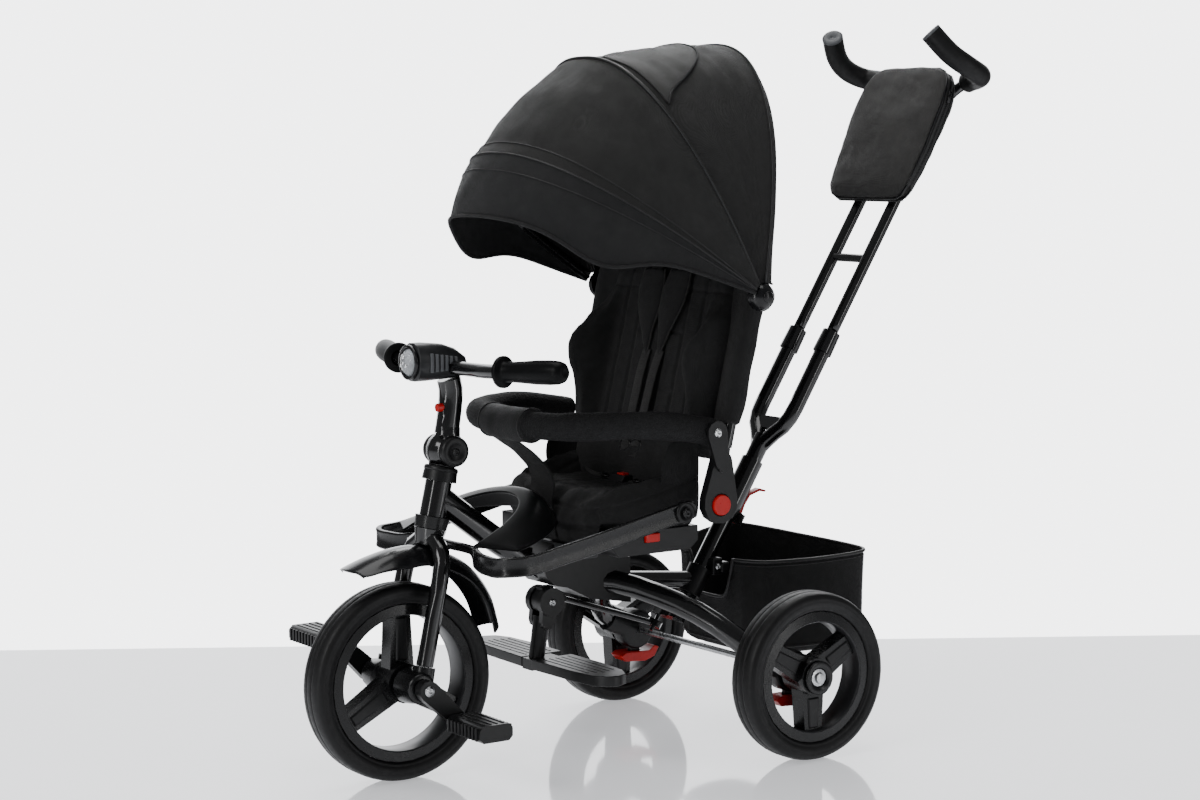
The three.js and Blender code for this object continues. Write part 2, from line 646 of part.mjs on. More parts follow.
function seatBase() {
  const tray = plateX([[266, 318], [276, 306], [400, 306], [414, 318], [414, BASE_TOP], [266, BASE_TOP]],
    -BASE_HALF, BASE_HALF);
  const foot = cut(box(-34, 34, 306, 368, 280, 310), box(-60, 60, 290, 380, 270, 300.8));
  const pockets = [1, -1].map((s) => box(Math.min(s * 143, s * 160), Math.max(s * 143, s * 160),
    320.5, 345.5, 322.5, 335.5));
  return cut(join(tray, foot), ...pockets);
}
add("seat_base", seatBase(), PLASTIC);
addPair("seat_button", box(146.5, 153, 321, 345, 323, 335), RED);

function seatCushion() {
  const low = BASE_TOP + GAP;
  const half = SEAT_HALF;
  const outline = [[-half + 8, low], [half - 8, low], [half, low + 14], [half, 398], [half - 14, 412],
    [half - 36, 406], [half - 52, 386], [-half + 52, 386], [-half + 36, 406], [-half + 14, 412],
    [-half, 398], [-half, low + 14]];
  const shape = new THREE.Shape(outline.map(([x, z]) => v2(x, z)));
  const body = new THREE.ExtrudeGeometry(shape, { depth: SEAT_REAR - SEAT_FRONT, bevelEnabled: false });
  body.applyMatrix4(new THREE.Matrix4().makeBasis(v3(1, 0, 0), v3(0, 0, 1), v3(0, -1, 0)));
  const front = plateX([[SEAT_FRONT, 314], [262, 314], [265.5, 350], [SEAT_FRONT, 350]], -140, 140);
  return join(body.translate(0, SEAT_REAR, 0), front);
}
add("seat_cushion", seatCushion(), FABRIC);

function buckle() {
  const body = plateX([[372, 386.6], [408, 386.6], [410, 392], [404, 400], [376, 400], [370, 392]], -19, 19);
  return cut(body, box(-9.5, 9.5, 379.5, 400.5, 394, 410));
}
add("buckle", buckle(), PLASTIC);
add("buckle_button", box(-9, 9, 380, 400, 397, 402.5), RED);

function reclineHousing() {
  const teardrop = capsule(RECLINE_Y, RECLINE_Z + 2, 29, 419, 436, 15);
  const body = plateX(teardrop, SIDE_X + 1.6, 206);
  const arm = plateX(capsule(BUMPER_Y, BUMPER_Z, 17, 413, 436, 11, 6), 205.6, 211);
  const weld = plateX(disc(416, 430, 9, 10), 200, 209);
  const pocket = rod(v3(198, RECLINE_Y, RECLINE_Z), v3(230, RECLINE_Y, RECLINE_Z), 16.6, 16);
  return cut(join(body, arm, weld), pocket);
}
addPair("recline_housing", reclineHousing(), DARK_GREY);
const reclineButton = rod(v3(202, RECLINE_Y, RECLINE_Z), v3(210, RECLINE_Y, RECLINE_Z), 15.6, 16, 14.5);
addPair("recline_button", reclineButton, RED);

// ---- bumper bar ---------------------------------------------------------------------------

function bumperBar() {
  const half = [v3(0, 192, 490), v3(80, 198, 492), v3(138, 226, 494), v3(174, 286, 495),
    v3(184, 345, 490), v3(184, 390, 482), v3(184, BUMPER_Y, BUMPER_Z)];
  const path = [...half.slice(1).reverse().map(flip), ...half];
  const pad = tube(path, 20.5, 20, 10);
  const ends = [1, -1].map((s) => {
    const end = new THREE.SphereGeometry(20, 10, 6).translate(s * 184, BUMPER_Y, BUMPER_Z);
    return end;
  });
  const sleeve = tube([v3(-56, 195, 491), v3(0, 192, 490), v3(56, 195, 491)], 26, 4, 12);
  return join(pad, ...ends, sleeve);
}
add("bumper_bar", bumperBar(), FABRIC);

// ---- backrest -----------------------------------------------------------------------------

// The back group's own Z runs up the backrest, from the recline axis.
const back = new THREE.Group();
back.position.set(0, RECLINE_Y, RECLINE_Z);
back.rotation.x = rad(-BACK_ANGLE);
tricycle.add(back);

function backFrame() {
  const half = [v3(0, 4, 362), v3(130, 4, 362), v3(178, 2, 352), v3(SIDE_X, 0, 322), v3(SIDE_X, 0, 240),
    v3(SIDE_X, 0, 150), v3(SIDE_X, 0, 82)];
  const loop = tube([...half.slice(1).reverse().map(flip), ...half], 9, 24, 8);
  const arms = [1, -1].map((s) => {
    const x = [s * 178, s * 191].sort((a, b) => a - b);
    return plateX(capsule(0, 0, 17, 0, 84, 8, 5), x[0], x[1]);
  });
  return join(loop, ...arms);
}
add("back_frame", backFrame(), PAINT, back);

function backrestPad() {
  const outline = [[-160, 20], [-160, -44], [-152, -54], [-138, -54], [-128, -40], [-120, -16], [120, -16],
    [128, -40], [138, -54], [152, -54], [160, -44], [160, 20], [146, 27], [-146, 27]];
  return plateZ(outline, 56, 345);
}
add("backrest_pad", backrestPad(), FABRIC, back);

const hubDome = turned([[201, 0], [201, 21], [209, 21], [217, 16], [222, 9], [223, 0]], 16, CANOPY_Y, CANOPY_Z);
addPair("canopy_hub", hubDome, GLOSS);

// ---- canopy -------------------------------------------------------------------------------

// One bow: the points of a superellipse in a plane through the hub axis, leaning forward.
function bow(lean, extra) {
  const dir = v3(0, -Math.sin(rad(lean)), Math.cos(rad(lean)));
  const radius = CANOPY_RADIUS + extra;
  const half = CANOPY_HALF + extra;
  const first = Math.asin((34 / CANOPY_RADIUS) ** (CANOPY_POWER / 2));
  return Array.from({ length: 15 }, (_, i) => {
    const a = first + ((Math.PI - 2 * first) * i) / 14;
    const x = half * Math.sign(Math.cos(a)) * Math.abs(Math.cos(a)) ** (2 / CANOPY_POWER);
    const r = radius * Math.abs(Math.sin(a)) ** (2 / CANOPY_POWER);
    return v3(x, CANOPY_Y, CANOPY_Z).addScaledVector(dir, r);
  });
}

const MID_LEAN = 25.5; // where the front and rear panels meet
const REAR_LEAN = -10;
const FRONT_LEAN = 71;

function canopyRear() {
  const rows = [[MID_LEAN, 0], [14, -14], [2, -14], [REAR_LEAN, 0]].map(([lean, sag]) =>
    bow(lean, 0).map((p) => {
      const r = Math.hypot(p.y - CANOPY_Y, p.z - CANOPY_Z) / CANOPY_RADIUS;
      return v3(p.x, CANOPY_Y, CANOPY_Z).lerp(p, 1 + (sag / CANOPY_RADIUS) * r);
    }));
  const top = rows[rows.length - 1];
  // The rear curtain falls from the rear bow, round the sides and back of the backrest's top.
  for (const t of [0.34, 0.67, 1]) {
    rows.push(top.map((p) => {
      const round = 1 - (Math.abs(p.x) / CANOPY_HALF) ** 3;
      const foot = v3(p.x * 0.965, 506 + 42 * round, Math.min(p.z, 700));
      const fall = p.clone().lerp(foot, t);
      fall.y += 20 * round * Math.sin(Math.PI * t);
      return fall;
    }));
  }
  return sheet(rows, 2.5);
}

function canopyFront() {
  const leans = [MID_LEAN, 34, 43, 52, 61, FRONT_LEAN];
  const rows = leans.map((lean, i) => {
    const points = bow(lean, CANOPY_STEP);
    if (i < leans.length - 1) return points;
    // The visor drops in a rounded lobe at each side.
    return points.map((p) => {
      const r = Math.hypot(p.y - CANOPY_Y, p.z - CANOPY_Z);
      const drop = rad(7 * Math.exp(-(((r - 250) / 62) ** 2)));
      return v3(p.x, CANOPY_Y - r * Math.sin(rad(FRONT_LEAN) + drop),
        CANOPY_Z + r * Math.cos(rad(FRONT_LEAN) + drop));
    });
  });
  return sheet(rows, 2.5);
}

add("canopy_rear", canopyRear(), FABRIC);
add("canopy_front", canopyFront(), FABRIC);

// ---- push bar -----------------------------------------------------------------------------

const SPLIT = 262; // where the single tube becomes two
const COLLAR = 434;
const CROSS_BAR = 582;
const TELESCOPE = 72; // the upper legs reach this far below the middle of the collars

function handleLower() {
  const foot = rod(v3(0, 0, -46), v3(0, 0, SPLIT + 6), 13.5, 12);
  const sleeve = rod(v3(0, 0, 128), v3(0, 0, 226), 17, 12);
  const arm = box(-LINK_ARM - 7, 0, -8, 8, -46, -34);
  const pin = rod(v3(-LINK_ARM, 0, -72), v3(-LINK_ARM, 0, -42), 3, 10);
  const legs = [1, -1].map((s) => {
    const bend = tube([v3(0, 0, SPLIT - 16), v3(s * 16, 0, SPLIT + 8), v3(s * 36, 0, SPLIT + 30),
      v3(s * PUSH_HALF, 0, SPLIT + 56), v3(s * PUSH_HALF, 0, SPLIT + 76)], 12, 6, 10);
    const leg = rod(v3(s * PUSH_HALF, 0, SPLIT + 70), v3(s * PUSH_HALF, 0, COLLAR - 16), 12, 10);
    const collar = rod(v3(s * PUSH_HALF, 0, COLLAR - 18), v3(s * PUSH_HALF, 0, COLLAR + 18), 15, 12, 14);
    return join(bend, leg, collar);
  });
  const gusset = box(-26, 26, -5, 5, SPLIT + 18, SPLIT + 38);
  const bores = [1, -1].map((s) =>
    rod(v3(s * PUSH_HALF, 0, SPLIT + 63), v3(s * PUSH_HALF, 0, COLLAR + 30), 9.4, 10));
  const leverRoom = box(-7, 7, 13.2, 40, 120, 240);
  const lugs = [1, -1].map((s) => box(Math.min(s * 7.5, s * 12), Math.max(s * 7.5, s * 12), 8, 25, 126, 144));
  return cut(join(cut(join(foot, sleeve), leverRoom), arm, pin, ...legs, gusset, ...lugs), ...bores);
}
add("handle_lower", handleLower(), PAINT, pushBar);

function releaseLever() {
  const outline = [[16, 128], [22, 128], [22, 142], [19.5, 160], [21, 176], [33, 190], [43, 194], [43, 197],
    [31, 194], [18, 179], [15.5, 160], [15.5, 142]];
  return plateX(outline, -6.6, 6.6);
}
add("release_lever", releaseLever(), RED, pushBar);

function handleUpper() {
  const top = 848;
  const parts = [rod(v3(-PUSH_HALF, 0, CROSS_BAR), v3(PUSH_HALF, 0, CROSS_BAR), 6.5, 10)];
  for (const s of [1, -1]) {
    parts.push(rod(v3(s * PUSH_HALF, 0, COLLAR - TELESCOPE), v3(s * PUSH_HALF, 0, top), 8.5, 10));
    const bend = [v3(s * PUSH_HALF, 0, top - 8), v3(s * 46, 0, 868), v3(s * 62, -2, 886), v3(s * 90, -8, 896)];
    const horn = [v3(s * 86, -7, 896), v3(s * 114, -13, 898), v3(s * 139, -30, 893), v3(s * 145, -62, 888),
      v3(s * 136, -96, 890), v3(s * 119, -132, 904)];
    parts.push(tube(bend, 8.5, 5, 8), tube(horn, 15.5, 9, 10));
  }
  return join(...parts);
}
add("handle_upper", handleUpper(), FOAM, pushBar);

function handleBag() {
  // Each section up the bag: height, half width, its back and its front face.
  const sections = [[676, 80, 11, 28], [690, 93, 10, 36], [760, 99, 10, 44], [836, 100, 14, 54],
    [860, 98, 19, 58], [884, 86, 20, 60], [896, 66, 24, 56]];
  const rings = sections.map(([z, half, rear, front]) =>
    [[half, rear + 4], [half, front - 5], [half - 8, front], [8 - half, front], [-half, front - 5],
      [-half, rear + 4], [6 - half, rear], [half - 6, rear]].map(([x, y]) => v3(x, -y, z)));
  return loft(rings);
}
add("handle_bag", handleBag(), OXFORD, pushBar);

function steeringRod() {
  const rear = pushBar.localToWorld(v3(-LINK_ARM, 0, -60));
  const front = v3(-30, 300, 219);
  const along = front.clone().sub(rear).normalize();
  const shaft = rod(rear.clone().addScaledVector(along, 8.5), front, 4.5, 10);
  const eye = pushed(rod(v3(-LINK_ARM, 0, -65), v3(-LINK_ARM, 0, -55), 11, 12));
  return cut(join(shaft, eye), pushed(rod(v3(-LINK_ARM, 0, -80), v3(-LINK_ARM, 0, -40), 6.3, 12)));
}
add("steering_rod", steeringRod(), PAINT);

// ---- basket -------------------------------------------------------------------------------

// The plan narrows towards the push bar. Each ring is one height of the outside wall.
function basketRing(grow, z, sag) {
  const plan = [[72, 547], [112, 566], [150, 620], [170, 680], [162, 708], [120, 716], [0, 718]];
  const ring = [...plan, ...plan.slice(0, -1).reverse().map(([x, y]) => [-x, y])];
  return ring.map(([x, y]) => {
    const middle = v3(x, y, 0).sub(v3(0, 640, 0));
    const out = middle.clone().normalize().multiplyScalar(grow);
    const rear = THREE.MathUtils.clamp((y - 540) / 175, 0, 1);
    return v3(x + out.x, y + out.y, z + sag * rear);
  });
}

function basket() {
  const outside = loft([basketRing(-18, 119, 16), basketRing(-4, 130, 14), basketRing(0, 180, 14),
    basketRing(2, 262, 16)]);
  const inside = loft([basketRing(-22, 123, 16), basketRing(-8, 133, 14), basketRing(-4, 180, 14),
    basketRing(-2, 275, 16)]);
  // The front wall has a deep rounded notch for the push bar.
  const notch = plateY([[-50, 300], [-50, 222], [-42, 208], [-28, 202], [28, 202], [42, 208], [50, 222],
    [50, 300]], 500, 616);
  const notchWall = common(outside, box(-54, 54, 500, 620, 198, 300));
  return cut(join(cut(outside, inside), notchWall), notch);
}
add("basket", basket(), FABRIC);

export default tricycle;
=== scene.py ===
"""Looks of the children's tricycle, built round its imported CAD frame. Metres, +Z up, facing -Y."""
import json
from math import asin, copysign, cos, exp, hypot, pi, radians, sin, sqrt

import bpy
import bmesh
from mathutils import Matrix, Vector, noise


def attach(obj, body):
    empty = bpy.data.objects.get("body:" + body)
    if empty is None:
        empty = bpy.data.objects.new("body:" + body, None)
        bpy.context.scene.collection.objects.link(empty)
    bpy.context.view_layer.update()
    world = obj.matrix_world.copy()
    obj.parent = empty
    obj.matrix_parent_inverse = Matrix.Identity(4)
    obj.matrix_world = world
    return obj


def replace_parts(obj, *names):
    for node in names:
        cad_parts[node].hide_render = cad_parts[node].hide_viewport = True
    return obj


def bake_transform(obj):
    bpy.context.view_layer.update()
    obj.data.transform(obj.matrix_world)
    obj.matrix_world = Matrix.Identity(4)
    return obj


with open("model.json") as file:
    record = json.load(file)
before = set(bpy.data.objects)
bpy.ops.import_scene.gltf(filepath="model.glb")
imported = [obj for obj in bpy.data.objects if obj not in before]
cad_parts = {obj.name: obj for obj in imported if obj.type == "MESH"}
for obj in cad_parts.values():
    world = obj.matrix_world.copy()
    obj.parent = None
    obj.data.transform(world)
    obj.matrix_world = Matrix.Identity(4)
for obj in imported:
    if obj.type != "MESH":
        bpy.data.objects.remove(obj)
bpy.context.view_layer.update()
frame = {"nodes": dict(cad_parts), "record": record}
nodes = frame["nodes"]
MM = 0.001
SIDES = ((1, "left"), (-1, "right"))

# ---- camera, light and floor ---------------------------------------------------------------

AZIMUTH, ELEVATION, ROLL = radians(56.5473), radians(6.0289), radians(-0.743)
CAMERA_AT, LENS, SENSOR = (3.2133, -1.7765, 0.9193), 79.507, 36
back_dir = Vector((sin(AZIMUTH) * cos(ELEVATION), -cos(AZIMUTH) * cos(ELEVATION), sin(ELEVATION)))
right_dir = Vector((cos(AZIMUTH), sin(AZIMUTH), 0))
away_dir = Vector((-right_dir.y, right_dir.x, 0))
up_dir = back_dir.cross(right_dir)
cam_x = right_dir * cos(ROLL) + up_dir * sin(ROLL)
cam_y = up_dir * cos(ROLL) - right_dir * sin(ROLL)
camera = bpy.data.objects.new("camera", bpy.data.cameras.new("camera"))
bpy.context.scene.collection.objects.link(camera)
camera.data.sensor_width, camera.data.lens = SENSOR, LENS
camera.matrix_world = Matrix.Translation(CAMERA_AT) @ Matrix((cam_x, cam_y, back_dir)).transposed().to_4x4()
bpy.context.scene.camera = camera


def area_light(name, place, aim, size_x, size_y, power):
    data = bpy.data.lights.new(name, "AREA")
    data.shape = "RECTANGLE"
    data.size, data.size_y, data.energy = size_x, size_y, power
    lamp = bpy.data.objects.new(name, data)
    bpy.context.scene.collection.objects.link(lamp)
    lamp.location = place
    lamp.rotation_euler = (Vector(aim) - Vector(place)).to_track_quat("-Z", "Y").to_euler()


area_light("key_box", (0.4, -3.0, 2.7), (0, 0.2, 0.4), 2.2, 1.2, 46)
area_light("top_box", (-0.3, 0.4, 3.2), (0, 0.3, 0.3), 2.0, 2.4, 40)
area_light("rim_box", (-2.4, 2.2, 3.4), (0, 0.2, 0.6), 2.0, 1.0, 44)
area_light("left_strip", (0.9, -3.4, 1.2), (0, 0.2, 0.5), 0.35, 2.4, 22)
area_light("right_strip", (3.3, 1.9, 1.2), (0, 0.3, 0.5), 0.3, 2.4, 14)


def feed(tree, node, **inputs):
    """Sets inputs of a shader node, or links those that come from another node."""
    for key, value in inputs.items():
        socket = node.inputs[key.replace("_", " ")]
        if isinstance(value, bpy.types.NodeSocket):
            tree.links.new(value, socket)
        else:
            socket.default_value = value
    return node


def build_world():
    """A bright white backdrop behind the tricycle, as seen from the photo's side."""
    world = bpy.data.worlds.new("studio")
    bpy.context.scene.world = world
    world.use_nodes = True
    tree = world.node_tree
    new = tree.nodes.new
    facing = feed(tree, new("ShaderNodeVectorMath"), Vector=new("ShaderNodeTexCoord").outputs["Generated"])
    facing.operation = "DOT_PRODUCT"
    facing.inputs[1].default_value = (away_dir.x * 0.985, away_dir.y * 0.985, 0.17)
    reach = feed(tree, new("ShaderNodeMapRange"), Value=facing.outputs["Value"], From_Min=0.8, From_Max=0.95,
                 To_Min=0.2, To_Max=3.6)
    lit = feed(tree, tree.nodes["Background"], Color=(0.86, 0.87, 0.89, 1), Strength=reach.outputs["Result"])
    seen = feed(tree, new("ShaderNodeBackground"), Color=(0.93, 0.935, 0.945, 1), Strength=5.0)
    mixer = feed(tree, new("ShaderNodeMixShader"), Fac=new("ShaderNodeLightPath").outputs["Is Camera Ray"])
    tree.links.new(lit.outputs["Background"], mixer.inputs[1])
    tree.links.new(seen.outputs["Background"], mixer.inputs[2])
    feed(tree, tree.nodes["World Output"], Surface=mixer.outputs["Shader"])


build_world()

# ---- materials -----------------------------------------------------------------------------


class Paint:
    """A procedural material: colour and roughness vary with noise, and bumps add up."""

    def __init__(self, name, color, roughness, specular, vary, vary_scale, spread, **sockets):
        self.mat = bpy.data.materials.new(name)
        self.mat.use_nodes = True
        self.tree = self.mat.node_tree
        self.shader = self.tree.nodes["Principled BSDF"]
        self.normal = None
        self.coords = self.node("TexCoord").outputs["Object"]
        ramp = self.node("ValToRGB", Fac=self.noise(vary_scale, 5, 0.6))
        for end, position, factor in zip(ramp.color_ramp.elements, (0.32, 0.7), (1 - vary, 1 + vary)):
            end.position = position
            end.color = tuple(min(1, c * factor) for c in color) + (1,)
        smear = self.node("MapRange", Value=self.noise(vary_scale * 2.3, 4, 0.65), From_Min=0.3, From_Max=0.7,
                          To_Min=max(0.02, roughness - spread), To_Max=min(1, roughness + spread))
        feed(self.tree, self.shader, Base_Color=ramp.outputs["Color"], Roughness=smear.outputs["Result"],
             Specular_IOR_Level=specular, **sockets)

    def node(self, kind, **inputs):
        return feed(self.tree, self.tree.nodes.new("ShaderNode" + kind), **inputs)

    def math(self, op, a, b):
        n = self.node("Math")
        n.operation = op
        for socket, value in zip(n.inputs, (a, b)):
            if isinstance(value, (int, float)):
                socket.default_value = value
            else:
                self.tree.links.new(value, socket)
        return n.outputs[0]

    def noise(self, scale, detail=3.0, rough=0.5, stretch=(1, 1, 1)):
        where = self.place(stretch)
        return self.node("TexNoise", Scale=scale, Detail=detail, Roughness=rough, Vector=where).outputs["Fac"]

    def place(self, stretch=(1, 1, 1), turn=(0, 0, 0)):
        return self.node("Mapping", Scale=stretch, Rotation=turn, Vector=self.coords).outputs["Vector"]

    def wave(self, scale, axis, turn):
        w = self.node("TexWave", Scale=scale, Distortion=0.0, Vector=self.place(turn=turn))
        w.bands_direction = axis
        return w.outputs["Fac"]

    def cells(self, scale):
        return self.node("TexVoronoi", Scale=scale, Vector=self.place()).outputs["Distance"]

    def bump(self, height, depth, strength=1.0):
        b = self.node("Bump", Distance=depth, Strength=strength, Height=height)
        if self.normal is not None:
            feed(self.tree, b, Normal=self.normal)
        self.normal = b.outputs["Normal"]
        feed(self.tree, self.shader, Normal=self.normal)


def weave(paint, pitch, depth, turn=0.0):
    """Two sets of threads at right angles, on whichever way the surface faces."""
    k = 0.5 / pitch
    warp = paint.math("ADD", paint.wave(k, "X", (0, turn, 0)), paint.wave(k, "Y", (turn, 0, 0)))
    cloth = paint.math("MULTIPLY", warp, paint.math("ADD", paint.wave(k, "Z", (0, turn, 0)), 0.35))
    paint.bump(cloth, depth)


MATS = {}


def finish(name, color, roughness, specular, vary, vary_scale, spread, *bumps, threads=None, **sockets):
    """A material. Bumps are (texture, its inputs, depth, strength), threads are (pitch, depth, turn)."""
    p = Paint(name, color, roughness, specular, vary, vary_scale, spread, **sockets)
    for texture, inputs, depth, strength in bumps:
        p.bump(getattr(p, texture)(*inputs), depth, strength)
    if threads:
        weave(p, *threads)
    MATS[name] = p.mat


finish("gloss_paint", (0.004, 0.0041, 0.0045), 0.16, 0.5, 0.25, 20, 0.04, ("noise", (260, 2), 6e-5, 0.25),
       Coat_Weight=0.5, Coat_Roughness=0.06)
finish("gloss_plastic", (0.006, 0.0062, 0.007), 0.2, 0.35, 0.12, 26, 0.01, ("noise", (420, 3), 3e-5, 0.12),
       Coat_Weight=0.1, Coat_Roughness=0.05)
finish("plastic", (0.0052, 0.0053, 0.0057), 0.38, 0.35, 0.15, 45, 0.03, ("noise", (1900, 3, 0.7), 5e-5, 0.25))
finish("satin_plastic", (0.0048, 0.0049, 0.0053), 0.27, 0.4, 0.15, 30, 0.02, ("noise", (1300, 3, 0.6), 3e-5, 0.15))
finish("cowl_plastic", (0.0045, 0.0046, 0.005), 0.36, 0.09, 0.12, 30, 0.01, ("noise", (1300, 2), 2e-5, 0.1))
finish("dark_grey_plastic", (0.014, 0.0147, 0.016), 0.4, 0.4, 0.15, 40, 0.03, ("noise", (1700, 3, 0.7), 5e-5, 0.25))
finish("mid_grey_plastic", (0.09, 0.095, 0.102), 0.45, 0.5, 0.15, 40, 0.06, ("noise", (1500, 3, 0.7), 2e-4, 0.6))
finish("rim_grey", (0.02, 0.0205, 0.022), 0.32, 0.4, 0.15, 40, 0.02, ("noise", (1500, 3, 0.7), 6e-5, 0.25))
finish("foam", (0.0042, 0.0042, 0.0045), 0.46, 0.3, 0.3, 60, 0.09, ("noise", (700, 4, 0.7), 4e-4, 0.55),
       ("cells", (900,), 2e-4, 0.4))
finish("steel", (0.55, 0.56, 0.57), 0.28, 0.5, 0.12, 60, 0.08, ("noise", (600, 2, 0.5, (1, 1, 6)), 1e-4, 0.4),
       Metallic=1)
finish("chrome", (0.8, 0.81, 0.82), 0.08, 0.5, 0.06, 60, 0.04, ("noise", (300, 2), 1e-4, 0.2), Metallic=1)
finish("red_plastic", (0.5, 0.008, 0.006), 0.32, 0.35, 0.12, 60, 0.06, ("noise", (1600, 2), 1e-4, 0.4))
finish("clear_lens", (0.82, 0.85, 0.88), 0.06, 0.5, 0.05, 60, 0.03, ("cells", (330,), 6e-4, 0.7),
       Transmission_Weight=0.75, IOR=1.46)
finish("fabric", (0.0085, 0.0086, 0.009), 0.8, 0.3, 0.28, 22, 0.08, ("noise", (38, 4, 0.55), 0.0035, 0.35),
       threads=(0.0011, 3.5e-4), Sheen_Weight=0.07)
finish("canopy_cloth", (0.0068, 0.0066, 0.0061), 0.64, 0.35, 0.22, 14, 0.08,
       ("noise", (11, 3, 0.5, (1, 1.6, 0.7)), 0.012, 0.5), ("noise", (26, 4, 0.5), 0.004, 0.3),
       threads=(0.0009, 3e-4, 0.5), Sheen_Weight=0.06)
# The window flap's cloth: the canopy cloth made lighter, a painted top light on the flap.
finish("flap_cloth_painted_top_light", (0.0118, 0.0118, 0.0106), 0.6, 0.5, 0.2, 14, 0.06, ("noise", (14, 4, 0.5), 0.008, 0.5),
       threads=(0.0009, 3e-4, 0.5), Sheen_Weight=0.08)
finish("band_cloth", (0.0066, 0.0068, 0.0076), 0.64, 0.35, 0.2, 18, 0.08, ("noise", (30, 3, 0.5), 0.002, 0.3),
       threads=(0.0008, 2.5e-4), Sheen_Weight=0.05)
finish("mesh_cloth", (0.0078, 0.0079, 0.0084), 0.8, 0.3, 0.3, 60, 0.06, ("cells", (330,), 0.0016, 0.9))
finish("oxford", (0.024, 0.0228, 0.0208), 0.6, 0.5, 0.22, 30, 0.09, ("noise", (24, 4, 0.5), 0.005, 0.35),
       threads=(0.0013, 5e-4), Sheen_Weight=0.1)
finish("binding", (0.0055, 0.0055, 0.0058), 0.45, 0.5, 0.3, 60, 0.08, ("noise", (900, 2, 0.5, (1, 1, 3)), 4e-4, 0.6),
       Sheen_Weight=0.08)
finish("webbing", (0.02, 0.019, 0.0185), 0.55, 0.5, 0.3, 60, 0.08, threads=(0.0016, 7e-4, 0.6), Sheen_Weight=0.08)
finish("reflective", (0.2, 0.21, 0.22), 0.4, 0.5, 0.15, 80, 0.08, ("cells", (500,), 3e-4, 0.6), Metallic=0.3)
finish("thread", (0.03, 0.03, 0.031), 0.7, 0.5, 0.2, 200, 0.06, ("noise", (2500, 2), 2e-4, 0.5))

# ---- mesh helpers --------------------------------------------------------------------------


def V(x, y, z):
    return Vector((x * MM, y * MM, z * MM))


def tilt(origin, degrees):
    """A group's own millimetres to the row frame, for a group that leans back."""
    c, s = cos(radians(degrees)), sin(radians(degrees))
    return lambda x, y, z: V(x, origin[0] + y * c + z * s, origin[1] - y * s + z * c)


steer = tilt((9, 140), 13)
push = tilt((502, 211), 32.5)
REST_AT, REST_LEAN = (414, 375), 14
rest = tilt(REST_AT, REST_LEAN)


def piece(name, verts, faces, mat, body=None, smooth=True, clean=False):
    """A mesh with its material, its slot and, if it is hard, its body."""
    mesh = bpy.data.meshes.new(name)
    mesh.from_pydata([tuple(v) for v in verts], [], faces)
    bm = bmesh.new()
    bm.from_mesh(mesh)
    bmesh.ops.remove_doubles(bm, verts=bm.verts, dist=1e-6)
    if clean:
        bmesh.ops.dissolve_degenerate(bm, edges=bm.edges, dist=1e-7)
    bmesh.ops.recalc_face_normals(bm, faces=bm.faces)
    bm.to_mesh(mesh)
    bm.free()
    mesh.materials.append(MATS[mat])
    mesh.polygons.foreach_set("use_smooth", [smooth] * len(mesh.polygons))
    obj = bpy.data.objects.new(name, mesh)
    bpy.context.scene.collection.objects.link(obj)
    if body:
        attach(obj, body)
    return obj


def modifier(obj, kind, **settings):
    m = obj.modifiers.new(kind.lower(), kind)
    for key, value in settings.items():
        setattr(m, key, value)
    return m


def rounded(obj, width, segments=2, angle=35):
    modifier(obj, "BEVEL", width=width * MM, segments=segments, limit_method="ANGLE",
             angle_limit=radians(angle), use_clamp_overlap=True)
    modifier(obj, "WEIGHTED_NORMAL", keep_sharp=True)
    return obj


def subdivided(obj):
    modifier(obj, "SUBSURF", levels=1, render_levels=1)
    return obj


BOX = ((0, 1, 3, 2), (4, 5, 7, 6), (0, 1, 5, 4), (2, 3, 7, 6), (0, 2, 6, 4), (1, 3, 7, 5))


def quads(rows, n, wrap=True, closed=False):
    """The faces between rows of n points; wrap joins a row's ends, closed the last row to the first."""
    return [(r * n + i, r * n + (i + 1) % n, (r + 1) % rows * n + (i + 1) % n, (r + 1) % rows * n + i)
            for r in range(rows if closed else rows - 1) for i in range(n if wrap else n - 1)]


def turns(count):
    """The angles of a full turn in equal steps."""
    return [2 * pi * i / count for i in range(count)]


def boxy(count, power):
    """A unit circle swollen towards a square."""
    return [(cos(a) / r, sin(a) / r) for a in turns(count)
            for r in [(abs(cos(a)) ** power + abs(sin(a)) ** power) ** (1 / power)]]


def mirrored(half):
    """A closed outline from its left half, which starts and ends on the middle plane."""
    return half + [(-x, y) for x, y in reversed(half[1:-1])]


def steps(count):
    """0 to 1 in equal steps, both ends included."""
    return [k / count for k in range(count + 1)]


def wobble(x, y, z):
    return noise.noise(Vector((x, y, z)))


def spline(points, count):
    """Points in equal steps along a smooth curve through the given ones."""
    n = len(points)
    out = []
    for i in range(count):
        t = i / (count - 1) * (n - 1)
        k = min(int(t), n - 2)
        u = t - k
        p0, p1, p2, p3 = (points[max(k - 1, 0)], points[k], points[k + 1], points[min(k + 2, n - 1)])
        out.append(0.5 * ((2 * p1) + (p2 - p0) * u + (2 * p0 - 5 * p1 + 4 * p2 - p3) * u * u
                          + (3 * p1 - p0 - 3 * p2 + p3) * u ** 3))
    return out


def curve(place, count, *points):
    """A smooth curve through points given in mm of the row frame (V) or of a tilted group."""
    return spline([place(*p) for p in points], count)


